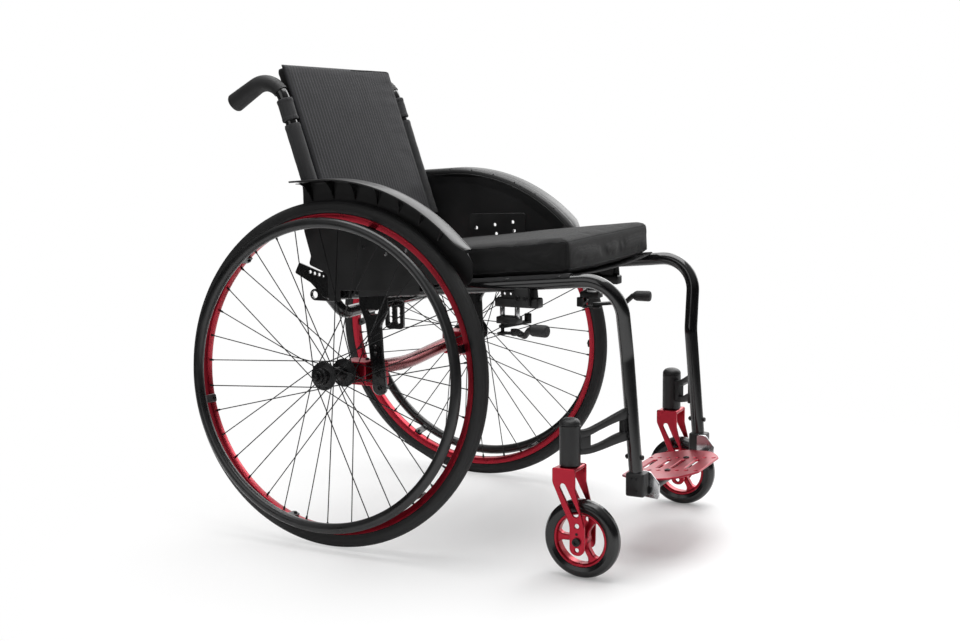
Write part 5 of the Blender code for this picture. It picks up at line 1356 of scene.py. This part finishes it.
def brakes():
    x = LEVER_PLACE[0]
    lever_y = LEVER_PLACE[1] - AXLE_Y
    shoe_y = SHOE_PLACE[1] - AXLE_Y
    plate_z = LEVER_PLACE[2]
    clamp_z = seat_z(-0.327) - 0.0215
    clamp = block((0.024, 0.026, 0.031), (SEAT_X, -0.327, clamp_z), 0.002, 3)
    bar = block((0.022, 0.078, 0.0145), (x, -0.3130, 0.4245), 0.0022, 3)
    tip = block((0.0216, 0.012, 0.0165), (x, -0.3462, 0.4254), 0.0030, 3)
    web = side_plate(
        rounded(((-0.2845, 0.4250, 0), (-0.2810, 0.4526, 0), (-0.3470, 0.4588, 0), (-0.3505, 0.4250, 0))),
        SEAT_X - 0.004,
        0.0040,
        [circle((-0.2895, 0.4387), 0.0022, 14), circle((-0.3005, 0.4387), 0.0022, 14)],
    )
    block_low = SHOE_PLACE[2] + 0.0060
    block_top = 0.401
    block_y = -0.2955
    centre = (x, block_y, (block_top + block_low) / 2)
    carrier = block((0.024, 0.037, block_top - block_low), centre, 0.0015)
    strap_top = plate_z - 0.0033
    strap_plate = block((0.016, 0.038, 0.003), (x, block_y, strap_top - 0.0015), 0.0007)
    pins = []
    for y, top in ((shoe_y, block_low + 0.002), (lever_y, plate_z + 0.00275)):
        pins.append(sweep(((x, y, strap_top - 0.002), (x, y, top)), 0.0030))
        pins.append(bolt((x, y, strap_top - 0.0028), (0, 0, -1), 0.0055, 0.0022))
    holder = joined(clamp, bar, tip, web, carrier, strap_plate)
    both("brake_clamp", holder, "frame", "black_plastic", "brake_mount_{}")
    screws("brake_pins", pins)
    posts = []
    profile = rounded(((0, 0.398, 0), (0.0042, 0.398, 0.0004), (0.0042, 0.421, 0.0004), (0, 0.421, 0)), 2)
    for y in (shoe_y, shoe_y - 0.027):
        posts.append(shifted(lathe(profile[1:-1], 24), (x, y, 0)))
    both("brake_posts", joined(*posts), "frame", "bright_steel")
    face = SEAT_X + 0.012
    screws("brake_screws", [bolt((face, y, 0.4338), OUTBOARD, 0.0040, 0.0022) for y in (-0.3205, -0.3345)])
    arm = plate(slot((0, 0), (0.036, -0.030), 0.0130), 0.0055)
    start = Vector((0.0535, -0.052, 0.012))
    end = Vector((0.0568, -0.081, 0.012))
    path = bent(((0.030, -0.025, -0.0012), (0.046, -0.040, -0.0008), start, end), (0.010, 0.0045), 8)
    radii = [0.0041 + 0.0012 * i / (len(path) - 1) for i in range(len(path))]
    swing = joined(arm, sweep(path, radii, 20), bolt((0.030, -0.0250, 0.0024), (0, 0, 1), 0.0030, 0.0016))
    length = (end - start).length
    grip_profile = rounded(
        (
            (0.0046, 0.0020, 0), (0.0070, 0.0020, 0.0010), (0.0096, 0.0075, 0.0030),
            (0.0100, length + 0.0005, 0.0030), (0.0090, length + 0.0050, 0.0030), (0, length + 0.0050, 0),
        ),
        5,
    )
    grip_shape = moved(lathe(grip_profile, 40), aim(end - start, start))
    reach = 0.0643
    shoe = plate(slot((0, 0), (reach, 0), 0.0120), 0.0050)
    peg = lathe(((0, -0.002), (0.006, -0.002), (0.006, 0.0132), (0.0052, 0.0140), (0, 0.0140)), 32)
    peg = shifted(peg, (reach, 0, 0))
    rest = Matrix.Rotation(math.radians(-165), 4, "Z")
    for side, sign in SIDES.items():
        at_lever = CHAIR @ flip(sign) @ Matrix.Translation((x, lever_y, plate_z))
        at_shoe = CHAIR @ flip(sign) @ Matrix.Translation((x, shoe_y, SHOE_PLACE[2])) @ rest
        sided(side, "lever_arm", swing, "lever_{}", "black_plastic", "brake_lever_{}", at_lever)
        sided(side, "lever_grip", grip_shape, "lever_{}", "grip_rubber", "brake_grip_{}", at_lever)
        sided(side, "shoe_arm", joined(shoe, peg), "shoe_{}", "spoke_black", "brake_shoe_{}", at_shoe)


# Footrest


def footrest():
    leg = (KNEE - LEG_END).normalized()
    low = LEG_END - leg * 0.038
    tube_shape = sweep((low, LEG_END + leg * 0.092), 0.0095, 32)
    both("lower_tube", tube_shape, "footrest", "frame_black", "footrest_tube_{}")
    top = LEG_END.z - 0.0012
    clamp = block((0.025, 0.0315, top - 0.120), (LEG_END.x, -0.5133, (top + 0.120) / 2), 0.0035, 4)
    both("foot_clamp", clamp, "footrest", "black_plastic", "footrest_clamp_{}")
    places = ((-0.5080, 0.1500), (-0.5165, 0.1500), (-0.5165, 0.1300))
    heads = [bolt((LEG_END.x + 0.0122, y, z), OUTBOARD, 0.0026, 0.0016) for y, z in places]
    screws("foot_clamp_screws", heads, "footrest")
    corners = [(-0.5140, 0.158, 0.004), (-0.5140, 0.116, 0.004), (-0.5460, 0.113, 0.005)]
    outline = rounded(corners + [(-0.5460, 0.138, 0.010), (-0.5300, 0.158, 0.008)])
    x = LEG_END.x - 0.0125 - 0.0023
    bracket = side_plate(outline, x, 0.0040, (), 0.0007)
    both("foot_bracket", bracket, "footrest", "bright_steel", "footrest_bracket_{}")
    head = bolt((x + 0.0018, FOOT_BAR_Y, FOOT_BAR_Z), OUTBOARD, 0.0062, 0.0030)
    screws("foot_bracket_bolt", [head], "foot_tilt")
    end = x - 0.0020 - 0.0005
    bar = sweep(((-end, FOOT_BAR_Y, FOOT_BAR_Z), (end, FOOT_BAR_Y, FOOT_BAR_Z)), FOOT_BAR_RADIUS, 32)
    piece("foot_bar", bar, "foot_tilt", "black_plastic", ["footrest_bar"])
    half = (
        (0.080, -0.458, 0.006), (0.092, -0.472, 0.010), (0.111, -0.511, 0.010), (0.106, -0.531, 0.006),
        (0.102, -0.547, 0.006), (0.090, -0.562, 0.008), (0.067, -0.577, 0.010), (0.052, -0.5835, 0.006),
    )
    corners = [(px, y - FOOT_BAR_Y, r) for px, y, r in half]
    corners += [(-px, y - FOOT_BAR_Y, r) for px, y, r in reversed(half)]
    holes = []
    rivets = []
    for px in (-0.047, 0.047):
        for i in range(8):
            place = (px, -0.462 - 0.0163 * i - FOOT_BAR_Y)
            if i == 4:
                rivets.append(bolt((*place, 0.0015), (0, 0, 1), 0.0052, 0.0022))
            else:
                holes.append(circle(place, 0.0036, 20))
    for i in range(4):
        y = -0.4775 - 0.0255 * i - FOOT_BAR_Y
        holes.append(slot((-0.028, y), (0.028, y), 0.0085))
    thickness = 0.0035
    pitch = Matrix.Rotation(-math.atan(FOOT_PLATE_SLOPE), 4, "X")
    rise = FOOT_BAR_RADIUS + 0.0003 + thickness / 2
    at = CHAIR @ Matrix.Translation((0, FOOT_BAR_Y, FOOT_BAR_Z)) @ pitch @ Matrix.Translation((0, 0, rise))
    shape = plate(rounded(corners), thickness, holes, 0.0007)
    piece("foot_plate", shape, "foot_tilt", "plate_anodised", ["footplate"], at)
    piece("foot_plate_screws", joined(*rivets), "foot_tilt", "spoke_black", at=at)


# Backrest


def handle_path(first_turn, short, steps):
    """The bend at the cane's top from one turn on, and the straight run to near its rear end."""
    path = []
    for i in range(steps + 1):
        turn = first_turn + (HANDLE_TURN - first_turn) * i / steps
        y = HANDLE_BEND * (1 - math.cos(turn))
        path.append(Vector((0, y, CANE_STRAIGHT + HANDLE_BEND * math.sin(turn))))
    heading = Vector((0, math.sin(HANDLE_TURN), math.cos(HANDLE_TURN)))
    run = (HANDLE_REACH - path[-1].y) / heading.y - short
    return path + [path[-1] + heading * run * i / 8 for i in range(1, 9)]


def resampled(path, count):
    """Points at even steps along a path."""
    lengths = [(b - a).length for a, b in zip(path, path[1:])]
    step = sum(lengths) / count
    points = [path[0]]
    index = 0
    done = 0.0
    for i in range(1, count):
        while done + lengths[index] < i * step:
            done += lengths[index]
            index += 1
        points.append(path[index].lerp(path[index + 1], (i * step - done) / lengths[index]))
    return points + [path[-1]]


def canes(hinge):
    cane = sweep([Vector((0, 0, 0.020)), *handle_path(0, 0.006, 20)], CANE_RADIUS, 36)
    lug = side_plate(slot((0, 0), (0, 0.032), 0.018), -0.0050, 0.0070, [circle((0, 0), 0.0043)], 0.0008)
    at = hinge @ Matrix.Translation((CANE_X, 0, 0))
    path = resampled(handle_path(math.radians(20), 0, 24), 48)
    radii = []
    for i in range(len(path)):
        t = i / (len(path) - 1)
        radius = 0.0126 + 0.0043 * t**0.8
        if i in (2, 4):
            radius -= 0.0005
        if t > 0.97:
            radius -= 0.0016 * ((t - 0.97) / 0.03) ** 2
        radii.append(min(radius, 0.0167))
    grip = sweep(path, radii, 40)
    for side, sign in SIDES.items():
        place = flip(sign) @ at
        sided(side, "cane", joined(cane, lug), "backrest", "frame_black", "back_cane_{}", place)
        sided(side, "hand_grip", grip, "backrest", "grip_rubber", "push_grip_{}", place, 50)


def sleeve(low, high, seed):
    """A fabric tube round the cane at x = 0, hemmed at both ends, with soft wrinkles."""
    rows = []
    count = 40
    for i in range(count + 1):
        t = i / count
        z = low + (high - low) * t
        hem = 0.0005 if z - low < 0.006 or high - z < 0.006 else 0.0
        end = 0.0012 * max(0, 1 - min(z - low, high - z) / 0.0012)
        row = []
        for angle in angles(36):
            fold = noise.noise(Vector((*polar(2, angle), z * 45 + seed)))
            row.append((*polar(SLEEVE_RADIUS + hem - end + 0.0005 * fold, angle), z))
        rows.append(row)
    inner = [[Vector(p) for p in row] for row in (rows[-1], rows[0])]
    for row in inner:
        for p in row:
            share = SLEEVE_INNER_RADIUS / math.hypot(p.x, p.y)
            p.x *= share
            p.y *= share
    return grid(rows + inner, wrap_rows=True)


def back_place(u, v, w):
    """A point of the back panel from its place in a cube of side 2, v to the rear."""
    height = (PAD_LOW + PAD_HIGH) / 2 + w * (PAD_HIGH - PAD_LOW) / 2 - 0.0035 * (1 + u) * (1 + w) / 2
    belly = 0.0035 * (1 - u * u) * (1 - w**4)
    y = PAD_FRONT + (v + 1) / 2 * PAD_THICKNESS - (belly if v < 0 else 0)
    return Vector((u * (PAD_HALF_WIDTH - 0.003 * (1 - w * w)), y, height))


def back_panel(hinge):
    """The panel's front cover: ribs inside a plain border, with creases towards the user's left."""
    across = 238
    up = 120
    border = 0.0085
    front = []
    for j in range(up + 1):
        w = 2 * j / up - 1
        row = []
        for i in range(across + 1):
            u = 2 * i / across - 1
            place = back_place(u, -1, w)
            edge = min(PAD_HALF_WIDTH * (1 - abs(u)), (PAD_HIGH - PAD_LOW) / 2 * (1 - abs(w)))
            round_off = 0.0045 * (1 - math.sqrt(max(0, 1 - (1 - min(edge / 0.007, 1)) ** 2)))
            rib = 0.5 + 0.5 * math.cos(2 * math.pi * place.x / RIB_PITCH)
            inside = min(1, max(0, (edge - border) / 0.004))
            wrinkle = noise.noise(Vector((place.x * 9, place.z * 14, 3.0))) * 0.0008
            wrinkle += noise.noise(Vector((place.x * 30, place.z * 22, 8.0))) * 0.0003
            crease_at = max(0, place.x / PAD_HALF_WIDTH - 0.35)
            wrinkle += noise.noise(Vector((place.x * 16, place.z * 60, 5.0))) * 0.0022 * crease_at
            rib *= 1 - 0.85 * min(1, 1.6 * crease_at)
            place.y += round_off - (0.0007 * rib + wrinkle) * inside
            row.append(place)
        front.append(row)
    skin = grid(front, wrap_columns=False)
    panel = piece("back_mesh", skin, "backrest", "back_fabric", at=hinge, crease=80)
    solid = panel.modifiers.new("cloth", "SOLIDIFY")
    solid.thickness = 0.0012
    solid.offset = -1
    return panel


def back_body(hinge):
    """The panel's sides and rear, behind the ribbed front."""

    def place(u, v, w):
        spot = back_place(u, v, w)
        spot.y += 0.0016 if v < 0 else 0
        swell = noise.noise(Vector((spot.x * 12, spot.z * 12, 1.0))) * 0.0006
        return spot + Vector((0, swell * max(0, v), 0))

    shape = soft_box((36, 4, 36), place, (0.030, 0.34, 0.036))
    body = mesh_object("back_pad", moved(shape, hinge), "gusset_fabric", 60)
    middle = hinge @ Vector((0, PAD_FRONT + PAD_THICKNESS / 2, (PAD_LOW + PAD_HIGH) / 2))
    for vertex in body.data.vertices:
        away = vertex.co - middle
        vertex.co -= away.normalized() * min(away.length, 0.0016)
    puff(body, 2.0, 0.0016)
    subdivide(body)
    body.data.shade_smooth()
    return body


def backrest():
    lean = Matrix.Rotation(-RECLINE, 4, "X")
    hinge = CHAIR @ Matrix.Translation((0, HINGE_Y, HINGE_Z)) @ lean
    canes(hinge)
    body = back_body(hinge)
    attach(body, "backrest")
    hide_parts("back_upholstery")
    panel = back_panel(hinge)
    inset = 0.0072
    half = PAD_HALF_WIDTH - inset
    low, high = PAD_LOW + inset, PAD_HIGH - inset
    corners = ((-half, low), (half, low), (half, high), (-half, high))
    loop = [Vector((x, PAD_FRONT, z)) for x, z in rounded([(*corner, 0.008) for corner in corners], 8)]
    ring = fine_path([hinge @ p for p in loop + loop[:1]], 0.004)[:-1]
    cord = sweep(on_surface(panel, ring, 0.0003), 0.0011, 8, closed=True)
    piping = mesh_object("back_piping", cord, "sleeve_nylon")
    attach(piping, "backrest")
    parts = (("lower", 0.070, SLEEVE_SPLIT, 0.0), ("upper", SLEEVE_SPLIT + 0.0065, 0.305, 7.0))
    for side, sign in SIDES.items():
        place = flip(sign) @ hinge @ Matrix.Translation((CANE_X, 0, 0))
        for part, low, high, seed in parts:
            tube = sleeve(low, high, seed + sign)
            cover = sided(side, f"sleeve_{part}", tube, "backrest", "sleeve_nylon", at=place, crease=50)
            middle = (low + high) / 2
            web = block((0.022, 0.0022, high - low - 0.004), (-0.0135, -0.0015, middle), 0.0009)
            flap = sided(side, f"web_{part}", web, "backrest", "sleeve_nylon", at=place)


# Floor, light and camera


def studio():
    reach = 30
    corners = [(-reach, -reach, 0), (reach, -reach, 0), (reach, reach, 0), (-reach, reach, 0)]
    floor = mesh_object("floor", (corners, [(0, 1, 2, 3)]), "thread")
    material = bpy.data.materials.new("white_floor")
    material.use_nodes = True
    tree = material.node_tree
    shader = tree.nodes["Principled BSDF"]
    shader.inputs["Roughness"].default_value = 0.75
    shader.inputs["Specular IOR Level"].default_value = 0.2
    glow = link(tree, "Emission", {"Color": (1, 1, 1, 1), "Strength": 1.0})
    path = link(tree, "LightPath")
    coords = link(tree, "TexCoord").outputs["Object"]
    # Painted light: a glow that only the camera sees lightens the floor's shadows, least about the
    # footplate at y = -0.40 and rising to the full white backdrop 1.1 m out.
    away = link(tree, "VectorMath", {0: coords, 1: (0, 0.40, 0)}, operation="ADD").outputs["Vector"]
    distance = link(tree, "VectorMath", {0: away}, operation="LENGTH").outputs["Value"]
    far = spread(tree, distance, 0.10, 1.0, 0.14, 1.1)
    # Painted shade: past 1.1 m the floor's own colour falls to dark, which only reflections and bounce
    # light see.
    shade = spread(tree, distance, 0.95, 0.10, 1.1, 2.4)
    tone = link(tree, "CombineColor", {0: shade, 1: shade, 2: shade}).outputs[0]
    tree.links.new(tone, shader.inputs["Base Color"])
    seen = combine(tree, "MULTIPLY", path.outputs["Is Camera Ray"], far)
    mix = link(tree, "MixShader", {0: seen, 1: shader.outputs[0], 2: glow.outputs[0]})
    tree.links.new(mix.outputs[0], tree.nodes["Material Output"].inputs["Surface"])
    floor.data.materials.clear()
    floor.data.materials.append(material)

    world = bpy.data.worlds.new("studio")
    bpy.context.scene.world = world
    world.use_nodes = True
    tree = world.node_tree
    tree.nodes.clear()
    path = link(tree, "LightPath")
    seen = combine(tree, "MAXIMUM", path.outputs["Is Camera Ray"], path.outputs["Is Transmission Ray"])
    direction = link(tree, "TexCoord").outputs["Generated"]
    height = link(tree, "SeparateXYZ", {0: direction}).outputs["Z"]
    above = spread(tree, height, 0.01, 0.45, 0.30, 0.90)
    facing = link(tree, "VectorMath", {0: direction, 1: (0.84, 0.00, 0.54)}, operation="DOT_PRODUCT")
    behind = spread(tree, facing.outputs["Value"], 0.0, 2.0, 0.70, 0.92)
    sky = combine(tree, "MAXIMUM", above, behind)
    soft = link(tree, "Background", {"Color": (1, 1, 1, 1), "Strength": sky})
    white = link(tree, "Background", {"Color": (1, 1, 1, 1), "Strength": 1.0})
    mix = link(tree, "MixShader", {0: seen, 1: soft.outputs[0], 2: white.outputs[0]})
    output = link(tree, "OutputWorld")
    tree.links.new(mix.outputs[0], output.inputs["Surface"])

    for name, place, size, power in (
        ("overhead", (0.1, 0.0, 2.4), (2.0, 1.8), 48),
        ("far_side", (1.9, -0.35, 1.55), (0.9, 1.4), 10),
        ("near_fill", (-2.4, 0.5, 1.3), (1.6, 1.6), 9),
    ):
        lamp = bpy.data.lights.new(name, "AREA")
        lamp.shape = "RECTANGLE"
        lamp.size = size[0]
        lamp.size_y = size[1]
        lamp.energy = power
        obj = bpy.data.objects.new(name, lamp)
        bpy.context.scene.collection.objects.link(obj)
        obj.location = place
        obj.rotation_euler = (Vector((0, 0, 0.35)) - Vector(place)).to_track_quat("-Z", "Y").to_euler()


def camera():
    back = Vector(
        (
            math.sin(CAMERA_AZIMUTH) * math.cos(CAMERA_DIP),
            -math.cos(CAMERA_AZIMUTH) * math.cos(CAMERA_DIP),
            math.sin(CAMERA_DIP),
        )
    )
    right = (-back).cross(Vector((0, 0, 1))).normalized()
    up = right.cross(-back)
    rolled_right = right * math.cos(CAMERA_ROLL) + up * math.sin(CAMERA_ROLL)
    rolled_up = up * math.cos(CAMERA_ROLL) - right * math.sin(CAMERA_ROLL)
    data = bpy.data.cameras.new("photo_view")
    data.lens = CAMERA_LENS
    data.sensor_width = 36
    data.clip_start = 0.1
    data.clip_end = 100
    obj = bpy.data.objects.new("photo_view", data)
    bpy.context.scene.collection.objects.link(obj)
    turn = Matrix((rolled_right, rolled_up, back)).transposed().to_4x4()
    obj.matrix_world = Matrix.Translation(CAMERA_PLACE) @ turn
    bpy.context.scene.camera = obj


camera()
studio()
frame_tubes()
rear_cross_tube()
camber_tube()
axle_supports()
axle_clamps()
caster_arms()
hinge_plates()
seat_sling()
seat_cushion()
side_guards()
guard_brackets()
wheels()
casters()
brakes()
footrest()
backrest()

bpy.context.scene.view_settings.view_transform = "Standard"
